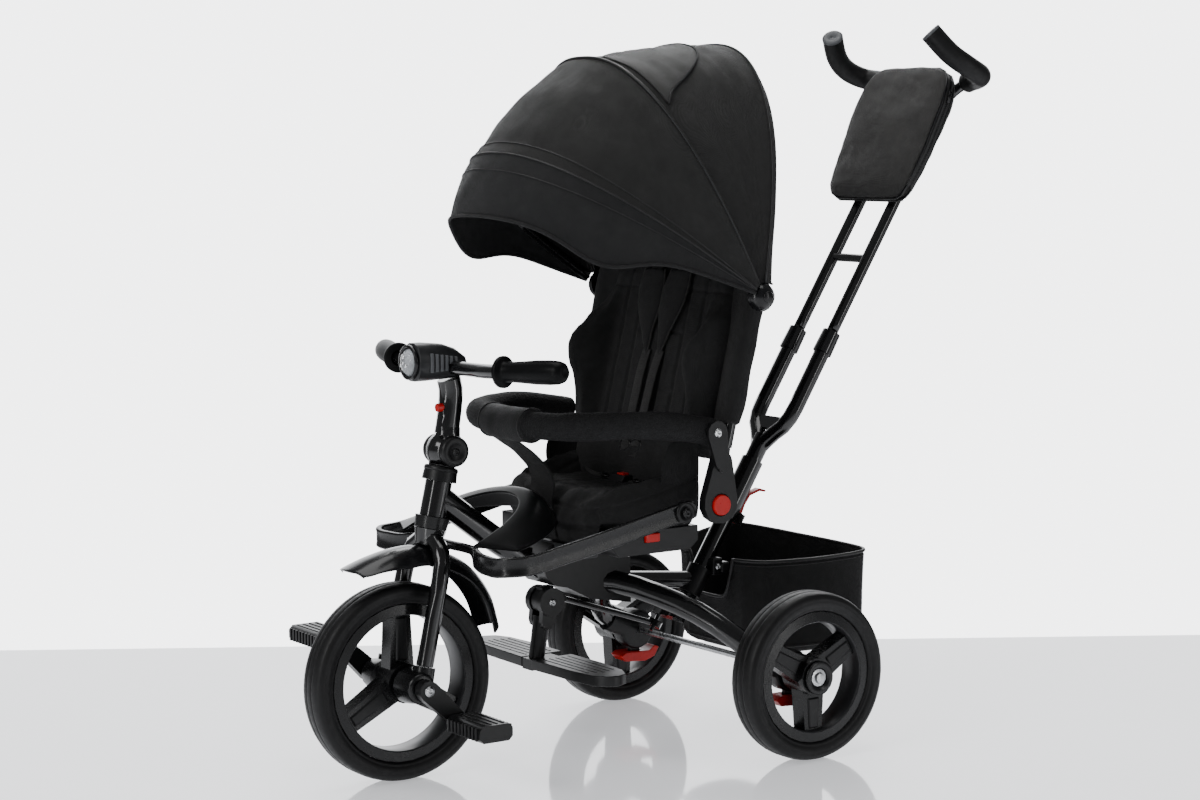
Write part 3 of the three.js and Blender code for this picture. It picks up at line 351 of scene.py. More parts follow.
def frames(path, closed=False, hint=None):
    """Tangent, side and up at each point, turned as little as possible from one to the next."""
    n = len(path)
    found = []
    side = None
    for i, p in enumerate(path):
        a = path[(i - 1) % n] if closed else path[max(i - 1, 0)]
        b = path[(i + 1) % n] if closed else path[min(i + 1, n - 1)]
        t = (b - a).normalized()
        if side is None:
            base = Vector(hint) if hint else (Vector((0, 0, 1)) if abs(t.z) < 0.9 else Vector((1, 0, 0)))
            side = base - t * base.dot(t)
        else:
            side = side - t * side.dot(t)
        side.normalize()
        found.append((t, side.copy(), t.cross(side)))
    return found


def loft(name, rings, mat, body=None, closed=False):
    """A skin through rings of points, closed on itself or with flat ends."""
    count, n = len(rings), len(rings[0])
    ends = [] if closed else [tuple(range(n))[::-1], tuple(range((count - 1) * n, count * n))]
    return piece(name, sum(rings, []), quads(count, n, closed=closed) + ends, mat, body)


def swept(name, path, section, mat, body=None, closed=False, hint=None):
    """A section, a list of (side, up) in mm or a function of place, carried along a path."""
    rings = []
    for i, (p, (t, s, u)) in enumerate(zip(path, frames(path, closed, hint))):
        shape = section(i / max(len(path) - 1, 1)) if callable(section) else section
        rings.append([p + s * (a * MM) + u * (b * MM) for a, b in shape])
    return loft(name, rings, mat, body, closed)


def circle(radius, sides):
    return [(radius * cos(a), radius * sin(a)) for a in turns(sides)]


def band(width, thick):
    """The section of a strap: flat, with rounded edges."""
    w, t = width / 2, thick / 2
    return [(-w, -t * 0.4), (-w + t, -t), (w - t, -t), (w, -t * 0.4), (w, t * 0.4), (w - t, t), (-w + t, t),
            (-w, t * 0.4)]


def pipe(name, path, radius, mat, body, sides=8, closed=False):
    return swept(name, path, circle(radius, sides), mat, body, closed)


def strap(name, path, width, thick, mat, body, hint):
    return swept(name, path, band(width, thick), mat, body, hint=hint)


def lathe(name, profile, centre, axis, mat, body, sides=48):
    """A turned piece: (along, radius) pairs in mm about an axis through a centre in metres."""
    axis = Vector(axis).normalized()
    side = axis.orthogonal().normalized()
    up = axis.cross(side)
    verts = []
    for a in turns(sides):
        out = side * cos(a) + up * sin(a)
        verts += [Vector(centre) + axis * (x * MM) + out * (r * MM) for x, r in profile]
    faces = quads(sides, len(profile), wrap=False, closed=True)
    return piece(name, verts, faces, mat, body, clean=True)


def bolt(name, centre, axis, radius, body, mat="steel"):
    """A socket-head screw: a washer, a domed head and a round recess."""
    r = radius
    profile = [(0, 0.01), (0, r * 1.35), (r * 0.2, r * 1.35), (r * 0.22, r), (r * 0.55, r * 0.97), (r * 0.72, r * 0.8),
               (r * 0.78, r * 0.5), (r * 0.4, r * 0.45), (r * 0.4, 0.01)]
    return lathe(name, profile, centre, axis, mat, body, 18)


def apply_all(obj):
    bpy.ops.object.select_all(action="DESELECT")
    obj.select_set(True)
    bpy.context.view_layer.objects.active = obj
    for m in list(obj.modifiers):
        bpy.ops.object.modifier_apply(modifier=m.name)
    return obj


PRESSURE, SWELL_FRAMES = 4.0, 20


def inflate(obj, cap_mm, size_mm=5.5):
    """Swells a pad as stuffing does: cloth under pressure, with every point's move capped."""
    modifier(obj, "REMESH", mode="VOXEL", voxel_size=size_mm * MM, use_smooth_shade=True)
    apply_all(obj)
    before = [v.co.copy() for v in obj.data.vertices]
    c = modifier(obj, "CLOTH")
    c.settings.use_pressure = True
    c.settings.uniform_pressure_force = PRESSURE
    c.settings.effector_weights.gravity = 0
    c.settings.tension_stiffness = 12
    c.settings.bending_stiffness = 0.6
    c.point_cache.frame_start, c.point_cache.frame_end = 1, SWELL_FRAMES
    for f in range(1, SWELL_FRAMES + 1):
        bpy.context.scene.frame_set(f)
    apply_all(obj)
    for v, b in zip(obj.data.vertices, before):
        move = v.co - b
        if move.length > cap_mm * MM:
            v.co = b + move.normalized() * (cap_mm * MM)
    bpy.context.scene.frame_set(1)
    modifier(obj, "SMOOTH", factor=0.5, iterations=3)
    apply_all(subdivided(obj))
    obj.data.polygons.foreach_set("use_smooth", [True] * len(obj.data.polygons))


def dented(obj, depth_at):
    """Moves each point inwards along its normal by depth_at(point, normal), in mm."""
    moved = [v.co - v.normal * (depth_at(v.co / MM, v.normal) * MM) for v in obj.data.vertices]
    for v, co in zip(obj.data.vertices, moved):
        v.co = co
    obj.data.update()


def groove(distance, width, depth):
    return depth * exp(-((distance / width) ** 2))

# ---- the CAD nodes' own finish -------------------------------------------------------------

SOFT = ("seat_cushion", "backrest_pad", "canopy_rear", "canopy_front", "bumper_bar", "handle_bag", "basket",
        "mudguard", "front_cowl", "front_hoop", "grip_left", "grip_right", "front_tyre", "rear_tyre_left",
        "rear_tyre_right")
LOOK = {"headset_upper": "plastic", "recline_housing_left": "plastic", "recline_housing_right": "plastic",
        "seat_base": "plastic", "handle_upper": "gloss_paint"}
LOOK.update({node: "satin_plastic" for node in ("headset_lower", "hub_bracket_left", "hub_bracket_right", "front_rim",
                                                "rear_rim_left", "rear_rim_right")})
EDGE = {"main_frame": 0.6, "headset_upper": 0.4, "headset_lower": 0.5, "fork": 0.6, "handlebar": 0.5, "lamp_lens": 0.5,
        "stem_button": 0.8, "rear_axle": 0.6, "steering_rod": 0.4, "buckle_button": 1.5, "release_lever": 0.8,
        "canopy_hub_left": 1.0, "canopy_hub_right": 1.0}
PLAIN_EDGE = 1.2
slots = {s["node"]: s["material_slot"] for s in frame["record"]["subparts"]}
for key, node in nodes.items():
    if key in SOFT:
        continue
    data = node.data
    if "custom_normal" in data.attributes:
        data.attributes.remove(data.attributes["custom_normal"])
    data.polygons.foreach_set("use_smooth", [True] * len(data.polygons))
    data.edges.foreach_set("use_edge_sharp", [False] * len(data.edges))
    modifier(node, "WELD", merge_threshold=1e-5)
    modifier(node, "DECIMATE", decimate_type="DISSOLVE", angle_limit=radians(0.6))
    rounded(node, EDGE.get(key, PLAIN_EDGE), 2, 50)
    data.materials.clear()
    data.materials.append(MATS[LOOK.get(key, slots[key])])

# ---- wheels --------------------------------------------------------------------------------


def tyre(name, node, body, centre, radius, seat):
    """A foam tyre: rounded tread, two rings moulded in each sidewall, and a lip at the rim."""
    rise = radius - seat
    half = [(19.5, seat + 0.1), (22.5, seat + 1.6), (23.6, seat + 4), (23.4, seat + 5.6), (24.6, seat + 6.6),
            (25.6, seat + 0.42 * rise), (25.9, seat + 0.5 * rise), (25.2, seat + 0.56 * rise),
            (25.7, seat + 0.6 * rise), (25.0, seat + 0.7 * rise), (23.4, seat + 0.8 * rise),
            (22.4, seat + 0.84 * rise), (21.6, seat + 0.88 * rise), (18.5, radius - 1.8), (14, radius - 0.5),
            (9, radius), (7.6, radius), (6.8, radius - 1.1), (6, radius), (0.8, radius)]
    profile = [(-x, r) for x, r in half] + [(x, r) for x, r in reversed(half)] + [(-19.5, seat + 0.1)]
    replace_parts(lathe(name, profile, centre, (1, 0, 0), "foam", body, 120), node)


def wheel_trim(tag, body, centre, window, spokes_at):
    """The lighter inner barrel of the rim, and a raised panel on each spoke."""
    inner = window - 0.5
    profile = [(-21.5, inner), (-19, inner - 1.6), (19, inner - 1.6), (21.5, inner), (21.5, inner + 0.2),
               (-21.5, inner + 0.2), (-21.5, inner)]
    lathe(f"{tag}_rim_band", profile, centre, (1, 0, 0), "rim_grey", body, 96)
    for i in range(3):
        a = radians(spokes_at + 120 * i)
        out, side = V(0, cos(a), sin(a)), V(0, -sin(a), cos(a))
        for s, hand in ((1, "l"), (-1, "r")):
            verts = [Vector(centre) + V(s * x, 0, 0) + out * r + side * (e * w) for x, grow in ((13.1, 0), (15.2, -2.2))
                     for r, w in ((31 - grow, 10.5 + grow), (window - 5 + grow, 8.5 + grow)) for e in (-1, 1)]
            rounded(piece(f"{tag}_spoke_panel_{i}_{hand}", verts, BOX, "plastic", body), 0.8)


REAR_X, REAR_Y, REAR_Z, HUB_END_X = 0.246, 0.5355, 0.122, 0.2705
for tag, centre, radius, seat, window, first in (
        ("front", (0, 0, 0.14), 140, 112, 98, 90), ("rear_left", (REAR_X, REAR_Y, REAR_Z), 122, 95, 81, 270),
        ("rear_right", (-REAR_X, REAR_Y, REAR_Z), 122, 95, 81, 270)):
    end, _, hand = tag.partition("_")
    wheel, tyre_node = (f"{end}_{word}_{hand}" if hand else f"{end}_{word}" for word in ("wheel", "tyre"))
    tyre(f"{tag}_foam_tyre", tyre_node, wheel, centre, radius, seat)
    wheel_trim(tag, wheel, centre, window, first)

for s, side in SIDES:
    lathe(f"rear_hub_ring_{side}",
          [(0, 14), (0, 22), (1.6, 24), (4, 24), (5, 22.5), (5, 17), (3, 15), (3, 14), (0, 14)],
          (s * HUB_END_X, REAR_Y, REAR_Z), (s, 0, 0), "satin_plastic", f"rear_wheel_{side}")

# ---- mudguard and cowl ---------------------------------------------------------------------


def shell(name, rows, mat, body, thick, bevel=0.6):
    """A moulded sheet with rounded edges through rows of points."""
    obj = piece(name, sum(rows, []), quads(len(rows), len(rows[0]), wrap=False), mat, body)
    modifier(obj, "SOLIDIFY", thickness=thick * MM, offset=-1, use_even_offset=True)
    modifier(obj, "BEVEL", width=bevel * MM, segments=2, limit_method="ANGLE", angle_limit=radians(60))
    return obj


def build_mudguard():
    ridge = curve(V, 61, (0, -80, 306), (0, -42, 320), (0, 0, 329), (0, 40, 329), (0, 80, 315), (0, 118, 291),
                  (0, 148, 251), (0, 163, 203))
    rows = []
    for i, p in enumerate(ridge):
        t = i / 60
        half = 41 - 16 * max(0, 0.22 - t) - 12 * t * t
        end = min(1, t / 0.09)
        half *= 0.72 + 0.28 * sqrt(max(0, 1 - (1 - end) ** 2))
        droop = 8 + 18 * min(1, t / 0.3) - 6 * t
        inward = Vector((0, -p.y, 0.14 - p.z)).normalized()
        rows.append([p + V(half * u, 0, 0) + inward * (droop * abs(u) ** 2.2 * MM)
                     + inward.cross(Vector((1, 0, 0))) * (-5 * (1 - end) * u * u * MM)
                     for u in [j / 12 - 1 for j in range(25)]])
    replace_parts(shell("front_mudguard", rows, "gloss_plastic", "fork", 2.8), "mudguard")


def cowl_point(t, a):
    """A point of the cowl: t in 0..1 from its mouth to its foot, a in 0..pi round the arch."""
    rise = sin(a) ** 0.75
    mouth = Vector((97 * cos(a), 68 + 118 * rise, 337 + 54 * rise))
    base = Vector((164 * cos(a), 100 + 132 * sin(a), 337 + 27 * sin(a)))
    bulge = sin(pi * t) * sin(a)
    return (mouth.lerp(base, t) + Vector((14 * cos(a) * bulge, 4 * bulge, 17 * bulge))) * MM


def build_cowl():
    rows = [[cowl_point(t, pi * u) for u in steps(60)] for t in steps(24)]
    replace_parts(shell("front_cowl_shell", rows, "cowl_plastic", "frame", 3.5, bevel=1.0), "front_cowl")


def build_hoop():
    """The flat hoop round the front, a smooth bar with a shallow channel in each face."""
    half = [(190, 380, 371), (190, 359, 368), (190, 305, 357), (190, 250, 345), (190, 200, 335), (190, 150, 326),
            (190, 120, 320)]
    half += [(160 + 30 * sin(a), 96 - 30 * cos(a), 315 + 3 * sin(a)) for a in map(radians, (90, 60, 30, 0))]
    half += [(137, 67, 315), (115, 71, 315), (92, 77, 318), (66, 86, 325)]
    path = curve(V, 221, *half, (0, 87, 325), *[(-x, y, z) for x, y, z in reversed(half)])
    last = len(path) - 1
    rings = []
    for i, p in enumerate(path):
        t = (path[min(i + 1, last)] - path[max(i - 1, 0)]).normalized()
        side = (Vector((0, 0, 1)) - t * t.z).normalized()
        up = t.cross(side)
        u = min(1, max(0, (abs(p.x) / MM - 64) / 30))
        h = 6 + 7.5 * u * u * (3 - 2 * u)
        h *= sqrt(max(0.1, 1 - max(0, 1 - min(i, last - i) / 5) ** 2))
        left = [(-h, 2.6), (-h + 1.2, 4), (-h + 3.4, 4.2), (-h + 4.6, 3.3)]
        upper = left + [(-a, b) for a, b in reversed(left)]
        edge = upper + [(a, -b) for a, b in reversed(upper)]
        edge = edge[-1:] + edge[:-1]
        rings.append([p + side * (a * MM) + up * (b * MM) for a, b in edge])
    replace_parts(loft("hoop_bar", rings, "satin_plastic", "frame"), "front_hoop")
    for s, side in SIDES:
        lathe(f"hoop_boss_{side}", [(0, 0.01), (0, 15), (9, 15.2), (11, 14.2), (11.4, 11), (10, 10), (10, 0.01)],
              V(s * 187, 359, 368), (s, 0, 0), "plastic", "frame", 40)


build_mudguard()
build_cowl()
build_hoop()

# ---- canopy --------------------------------------------------------------------------------

HUB_Y, HUB_Z, HALF, POWER = 487, 667, 213, 2.4
HUB = V(0, HUB_Y, HUB_Z)
REAR_LEAN, BOW_LEAN, FRONT_LEAN, BAND_LEAN, VISOR_LEAN = -10, 30, 25.5, 57.5, 71


def bow_point(lean, radius, half, a):
    """A point of a bow: a in 0..pi from the left hub over the top to the right hub."""
    x = half * copysign(abs(cos(a)) ** (2 / POWER), cos(a))
    r = radius * abs(sin(a)) ** (2 / POWER)
    return V(x, HUB_Y - r * sin(radians(lean)), HUB_Z + r * cos(radians(lean)))


def between(table, t):
    for (a, va), (b, vb) in zip(table, table[1:]):
        if (a <= t <= b) or (b <= t <= a):
            u = (t - a) / (b - a)
            u = u * u * (3 - 2 * u)
            return va + (vb - va) * u
    return table[0][1] if abs(t - table[0][0]) < abs(t - table[-1][0]) else table[-1][1]


FRONT_RADII = [(25.5, 378), (34, 375), (43, 373), (52, 374), (57.5, 378), (64, 377), (71, 374)]
REAR_RADII = [(30, 373), (25.5, 372), (17, 362), (8, 358), (-1, 360), (-10, 366)]
FIRST = asin((20 / 372) ** (POWER / 2))
COLS, FRONT_STEPS, REAR_STEPS, CURTAIN_STEPS = 96, 44, 26, 22


def angle_at(i, cols=COLS):
    return FIRST + (pi - 2 * FIRST) * i / cols


def from_hub(p):
    return (p - HUB).normalized()


def cloth_grid(name, rows, mat, body, thick=1.6):
    """A sheet of cloth through rows of points, with its thickness inwards."""
    obj = piece(name, sum(rows, []), quads(len(rows), len(rows[0]), wrap=False), mat, body)
    modifier(obj, "SOLIDIFY", thickness=thick * MM, offset=-1, use_even_offset=False)
    return obj


def crease(p, t, s):
    """Soft pulls in the cloth that run from the hubs over the shoulders, in mm."""
    return (2.6 * wobble(p.x * 9, t * 5, 1.7 + s) + 1.5 * wobble(p.x * 26 + t * 3, p.z * 11, 4.1 + s)
            + 2.2 * wobble(p.x * 14 + p.z * 10, t * 7 - p.x * 4, 9.3 + s))


def front_point(t, a):
    """A point of the front panel: t in 0..1 from the middle bow to the visor's edge."""
    lean = FRONT_LEAN + (VISOR_LEAN - FRONT_LEAN) * t
    radius = 376 + (between(FRONT_RADII, lean) - 376) * abs(sin(a)) ** 0.6
    p = bow_point(lean, radius, HALF + 5 - 6 * exp(-18 * t), a)
    r = hypot(p.y / MM - HUB_Y, p.z / MM - HUB_Z)
    drop = radians(7 * exp(-(((r - 250) / 62) ** 2))) * max(0, (lean - 61) / 10) ** 2
    if drop:
        p = V(p.x / MM, HUB_Y - r * sin(radians(lean) + drop), HUB_Z + r * cos(radians(lean) + drop))
    hold = min(1, t * 9) * min(1, abs(lean - BAND_LEAN) / 5) * min(1, (VISOR_LEAN - lean) / 4) * min(1, r / 140)
    return p + from_hub(p) * (crease(p, t, 0) * hold * MM)


def front_rows():
    return [[front_point(t, angle_at(i)) for i in range(COLS + 1)] for t in steps(FRONT_STEPS)]


def rear_point(t, a):
    """A point of the rear panel: t in 0..1 from under the middle bow to the rear bow."""
    lean = BOW_LEAN + (REAR_LEAN - BOW_LEAN) * t
    p = bow_point(lean, 372 + (between(REAR_RADII, lean) - 372) * abs(sin(a)) ** 0.6, HALF - 3, a)
    hold = min(1, t * 7) * min(1, (1 - t) * 7) * min(1, abs(sin(a)) * 2)
    return p + from_hub(p) * ((crease(p, t * 2, 3) - 1) * hold * MM)


def curtain_point(p, t):
    """Where a point of the rear bow has come to on its way down to the curtain's hem."""
    px, py, pz = p / MM
    side = 1 - min(1, abs(px) / HALF) ** 3
    fx, fy, fz = px * 0.965, 507 + 40 * side, min(pz, 684)
    x, y, z = px + (fx - px) * t, py + (fy - py) * t, pz + (fz - pz) * t
    y += 30 * side * (1 - exp(-t / 0.07)) * (1 - t) ** 1.1 + 8 * side * sin(pi * t)
    y += 2.2 * wobble(x * 0.02, z * 0.012, 8) * sin(pi * min(1, t * 1.2 + 0.05))
    return V(x, y, z)


def rear_rows():
    rows = [[rear_point(t, angle_at(i)) for i in range(COLS + 1)] for t in steps(REAR_STEPS)]
    return rows + [[curtain_point(p, t ** 1.4) for p in rows[-1]] for t in steps(CURTAIN_STEPS)[1:]]


def flap_point(rear, t, u):
    """A point of the window flap on the rear panel: t down from its top, u in -1..1 across."""
    g = 4.6 + t * 14.5 * (0.2 + 0.8 * (1 - abs(u) ** 3.2))
    col = COLS / 2 + u * (19 + 3 * (1 - t))
    r, c = int(g), int(col)
    q = rear[r][c].lerp(rear[r + 1][c], g - r).lerp(rear[r][c + 1].lerp(rear[r + 1][c + 1], g - r), col - c)
    return q + from_hub(q) * ((2.3 + 0.8 * wobble(u * 3, t * 4, 2)) * MM)


def build_canopy():
    front, rear = front_rows(), rear_rows()
    split = next(k for k in range(FRONT_STEPS)
                 if FRONT_LEAN + (VISOR_LEAN - FRONT_LEAN) * k / FRONT_STEPS >= BAND_LEAN - 1)
    panel = cloth_grid("canopy_front_cloth", front, "canopy_cloth", "canopy")
    panel.data.materials.append(MATS["band_cloth"])
    for poly in panel.data.polygons:
        poly.material_index = int(poly.index // COLS >= split)
    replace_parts(panel, "canopy_front")
    hood = cloth_grid("canopy_rear_cloth", rear, "canopy_cloth", "backrest")
    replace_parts(hood, "canopy_rear")

    def trim(name, row, radius, body, lift, mat="binding"):
        return pipe(name, [p + from_hub(p) * (lift * MM) for p in row], radius, mat, body)

    front_trims = [trim("canopy_front_piping", front[0], 2.4, "canopy", 0.8),
                   trim("canopy_visor_piping", front[split], 1.3, "canopy", 0.5),
                   trim("canopy_visor_binding", front[-1], 2.6, "canopy", 0, "band_cloth"),
                   trim("canopy_band_seam", front[split - 3], 1.0, "canopy", 0.3),
                   trim("canopy_lower_seam", front[split + 4], 0.7, "canopy", 0.3)]
    rear_trims = [trim("canopy_rear_piping", rear[REAR_STEPS], 2.0, "backrest", 0.6),
                  trim("canopy_curtain_hem", rear[-1], 1.8, "backrest", 0)]
    # The peek-window flap on the rear panel, bound round its rounded corners. Its cloth is a lighter copy of the canopy
    # cloth, a painted top light.
    flap_rows = [[flap_point(rear, t, 2 * u - 1) for u in steps(40)] for t in steps(14)]
    flap = cloth_grid("canopy_window_flap", flap_rows, "flap_cloth_painted_top_light", "backrest", 1.2)
    edge = [row[0] for row in flap_rows] + flap_rows[-1][1:-1] + [row[-1] for row in reversed(flap_rows)]
    binding = pipe("canopy_flap_binding", edge, 1.7, "band_cloth", "backrest")
    # The wire bows under the cloth, and the flat arms where they enter the hubs.
    for tag, lean, body, radius, half in (("rear", -8.5, "backrest", 360, HALF - 8.5),
                                          ("middle", 24.5, "backrest", 365, HALF - 8.5),
                                          ("front", 56, "canopy", 371, HALF + 0.6)):
        bow = [bow_point(lean, radius, half, angle_at(i, 60)) for i in range(61)]
        pipe(f"canopy_bow_{tag}", bow, 2.4, "satin_plastic", body)
        if tag != "middle":
            arm = [bow_point(lean, radius, half + 1.4, angle_at(i, 60)) for i in range(9)]
            for s, side in SIDES:
                strap(f"canopy_arm_{tag}_{side}", [Vector((s * abs(p.x), p.y, p.z)) for p in arm], 15, 2.6,
                      "satin_plastic", body, (0, 1, 0.3))


build_canopy()
for s, side in SIDES:
    lathe(f"canopy_hub_cap_{side}", [(0, 0.01), (0, 8), (1.2, 8.6), (2.2, 7.5), (2.4, 0.01)],
          (s * 0.2222, 0.487, 0.667), (s, 0, 0), "satin_plastic", "backrest", 32)

# ---- seat ----------------------------------------------------------------------------------


def build_seat():
    rings = []
    for y, low, half, mid, roll in (
            (246, 322, 62, 362, 0), (249, 318, 88, 371, 1), (254, 317, 107, 378, 2), (262, 317, 123, 383, 4),
            (266, 343, 128, 385, 5), (278, 343, 140, 387, 8), (298, 343, 151, 387, 13), (322, 343, 159, 385, 20),
            (350, 343, 163, 384, 28), (380, 343, 164, 384, 34), (405, 343, 163, 386, 36), (412, 344, 159, 386, 34)):
        top = mid + roll
        ring = [(0, low), (half * 0.5, low), (half - 10, low), (half - 2, low + 5), (half, low + 14), (half, top - 12),
                (half - 5, top - 3), (half - 14, top), (half - 25, top - 0.2 * roll - 1), (half - 38, mid + 1),
                (half * 0.15, mid - 1), (0, mid)]
        rings.append([V(x, y, z) for x, z in mirrored(ring)])
    seat = loft("seat_pad", rings, "fabric")
    inflate(seat, 8)

    def channels(p, n):
        d = 0.0
        if n.z > 0.35:
            d += groove(abs(p.x) - 118, 3.4, 4.0) * min(1, max(0, (p.y - 268) / 20))
            d += groove(abs(p.x) - 40, 3.0, 2.4) * (1 if p.y > 292 else 0)
            d += groove(p.y - 292, 3.4, 3.6) * (1 if abs(p.x) < 118 else 0)
            d += 2.4 * wobble(p.x * 0.02, p.y * 0.05, 3)
        if n.z < 0.75:
            d += groove(p.z - 346, 4.2, 5.0)
            d += groove(p.z - 371 - 0.28 * max(0, p.y - 262), 2.8, 2.4)
        d += 1.5 * wobble(*(p * 0.03)) + 0.8 * wobble(*(p * 0.08))
        return d

    dented(seat, channels)
    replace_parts(seat, "seat_cushion")
    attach(seat, "frame")


def build_back():
    rings = []
    wing = [(58, 20), (80, 28), (110, 34), (150, 46), (190, 66), (215, 60), (250, 36), (285, 14), (315, 3), (343, 0)]
    for z in (59, 66, 80, 100, 125, 150, 175, 195, 215, 235, 255, 280, 305, 325, 336, 342):
        w = between(wing, z)
        inset = 6 * max(0, (z - 325) / 17) ** 2 + 4 * max(0, (66 - z) / 7)
        h = 157 - inset - 10 * max(0, (z - 240) / 100)
        half = [(0, 24), (60, 24), (110, 24), (h - 12, 23), (h - 2, 15), (h, 2), (h, -10 - 0.55 * w),
                (h - 5, -14 - 0.95 * w), (h - 13, -14 - w), (h - 21, -14 - 0.82 * w), (h - 29, -14 - 0.4 * w),
                (h - 40, -13.5), (80, -14), (40, -14), (0, -14)]
        rings.append([rest(x, y * (1 - 0.02 * inset), z) for x, y in mirrored(half)])
    pad = loft("backrest_cushion", rings, "fabric")
    inflate(pad, 5)
    upright = Matrix.Rotation(radians(REST_LEAN), 3, "X")

    def channels(p, n):
        q = upright @ (p - Vector((0, *REST_AT)))
        facing = -(upright @ n).y
        d = 0.0
        if facing > 0.3:
            for x, depth in ((22, 2.6), (60, 3.0), (98, 3.0)):
                d += groove(abs(abs(q.x) - x), 3.0, depth)
            for z in (150, 236):
                d += groove(abs(q.z - z), 2.6, 3.2) * (1 if 26 < abs(q.x) < 56 else 0)
            d += groove(abs(q.z - 300), 3.0, 1.6)
        d += groove(abs(q.y - 6), 2.4, 1.8) * (1 if abs(facing) < 0.4 else 0)
        d += 0.9 * wobble(*(p * 0.03)) + 0.4 * wobble(*(p * 0.08))
        return d

    dented(pad, channels)
    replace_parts(pad, "backrest_pad")
    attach(pad, "backrest")
    # Leaf-shaped shoulder pads and the webbing through them.
    for s, side in SIDES:
        rings = []
        for t in steps(18):
            mid = s * (33 - 17 * t ** 1.4)
            width = 30 * (0.62 + 0.38 * sin(pi * min(1, t * 1.15 + 0.15))) * (1 - t ** 3.2) + 0.8
            bulge = 6.5 * sin(pi * min(1, 0.12 + 0.88 * t)) ** 0.6 + 0.8
            rings.append([rest(mid + width * cos(a), -22.5 - 3 * sin(pi * t) - bulge * sin(a) * 0.9, 328 - 128 * t)
                          for a in turns(20)])
        leaf = subdivided(loft(f"shoulder_pad_{side}", rings, "fabric", "backrest"))
        rim = [r[0] for r in rings] + [r[10] for r in reversed(rings)]
        pipe(f"shoulder_pad_piping_{side}", rim, 1.5, "webbing", "backrest")
        upper = curve(rest, 8, (s * 34, -14, 338), (s * 33, -19, 332), (s * 32, -22, 322))
        strap(f"shoulder_web_top_{side}", upper, 25, 1.6, "webbing", "backrest", (1, 0, 0))


build_back()
build_seat()


def build_back_cover():
    """The cloth that wraps the back tubes beside and behind the pad."""
    rings = []
    for t in steps(33):
        z = 112 + 236 * t
        outer = 204 - 30 * max(0, (z - 322) / 26) ** 2 - 2.5 * sin(pi * t) + 1.2 * sin(z * 0.09)
        low = max(0, 1 - t * 9)
        half = [(0, 24), (80, 24), (140, 24), (168, 22), (188, 19), (outer - 1, 14), (outer + 3, 2), (outer, -11),
                (193, -16), (180, -15), (168, -9), (150, -6), (80, -5), (0, -5)]
        ring = []
        for x, y in mirrored(half):
            fold = 1.4 * wobble(x * 0.05, z * 0.012, 5) if abs(x) > 155 else 0
            ring.append(rest(x * (1 - 0.01 * low), y * (1 - 0.25 * low) + fold, z))
        rings.append(ring)
    subdivided(loft("backrest_cover", rings, "fabric", "backrest"))


def build_lower_back():
    """The padded part between the seat and the backrest."""
    rings = []
    for t in steps(24):
        depth = 13 * sqrt(max(0.03, 1 - (2 * t - 1) ** 6))
        rings.append([V((144 + 6 * t) * x, 404 + 18 * t - 8 * sin(pi * t) + depth * y + 1.6 * wobble(c * 3, t * 4, 7),
                        376 + 92 * t) for c, (x, y) in zip(map(cos, turns(64)), boxy(64, 5))])
    pad = loft("lower_back_pad", rings, "fabric")
    dented(pad, lambda p, n: groove(abs(abs(p.x) - 60), 3, 2.4) + groove(abs(abs(p.x) - 22), 3, 2.0))
    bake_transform(pad)
    for s, side in SIDES:
        # The side cloth from the backrest's wing to the seat's side roll.
        rows = []
        for t in steps(12):
            rows.append([V(s * (152 + 6 * sin(pi * u) + 2 * sin(pi * t)),
                           352 + 62 * u - 10 * sin(pi * t) * (1 - u) + 12 * t * (1 - u),
                           398 + 66 * t - 5 * (1 - t) * (1 - u)) for u in steps(10)])
        wing = subdivided(cloth_grid(f"side_cloth_{side}", rows, "fabric", None, 2.2))
        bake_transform(wing)


build_back_cover()
build_lower_back()


def build_harness():
    for s, side in SIDES:
        run = curve(rest, 30, (s * 17, -22, 206), (s * 16, -27, 170), (s * 15, -29, 120), (s * 13, -31, 75),
                    (s * 11, -32, 45))
        strap(f"shoulder_web_{side}", run, 20, 1.5, "webbing", "backrest", (1, 0, 0))
        lap = curve(V, 26, (s * 112, 404, 402), (s * 90, 392, 396), (s * 55, 388, 392.5), (s * 22, 389, 392.5))
        strap(f"lap_web_{side}", lap, 20, 1.5, "webbing", "frame", (0, 1, 0.1))
        ring = [V(s * 42 + 11 * cos(a), 389 + 12 * sin(a), 394.5) for a in turns(16)]
        pipe(f"lap_slider_{side}", ring, 1.7, "satin_plastic", "frame", closed=True)
        ring = [rest(s * 14 + 13 * cos(a), -31, 62 + 9 * sin(a)) for a in turns(16)]
        pipe(f"shoulder_slider_{side}", ring, 1.7, "satin_plastic", "backrest", closed=True)


build_harness()

# ---- bumper bar and crotch strap -----------------------------------------------------------


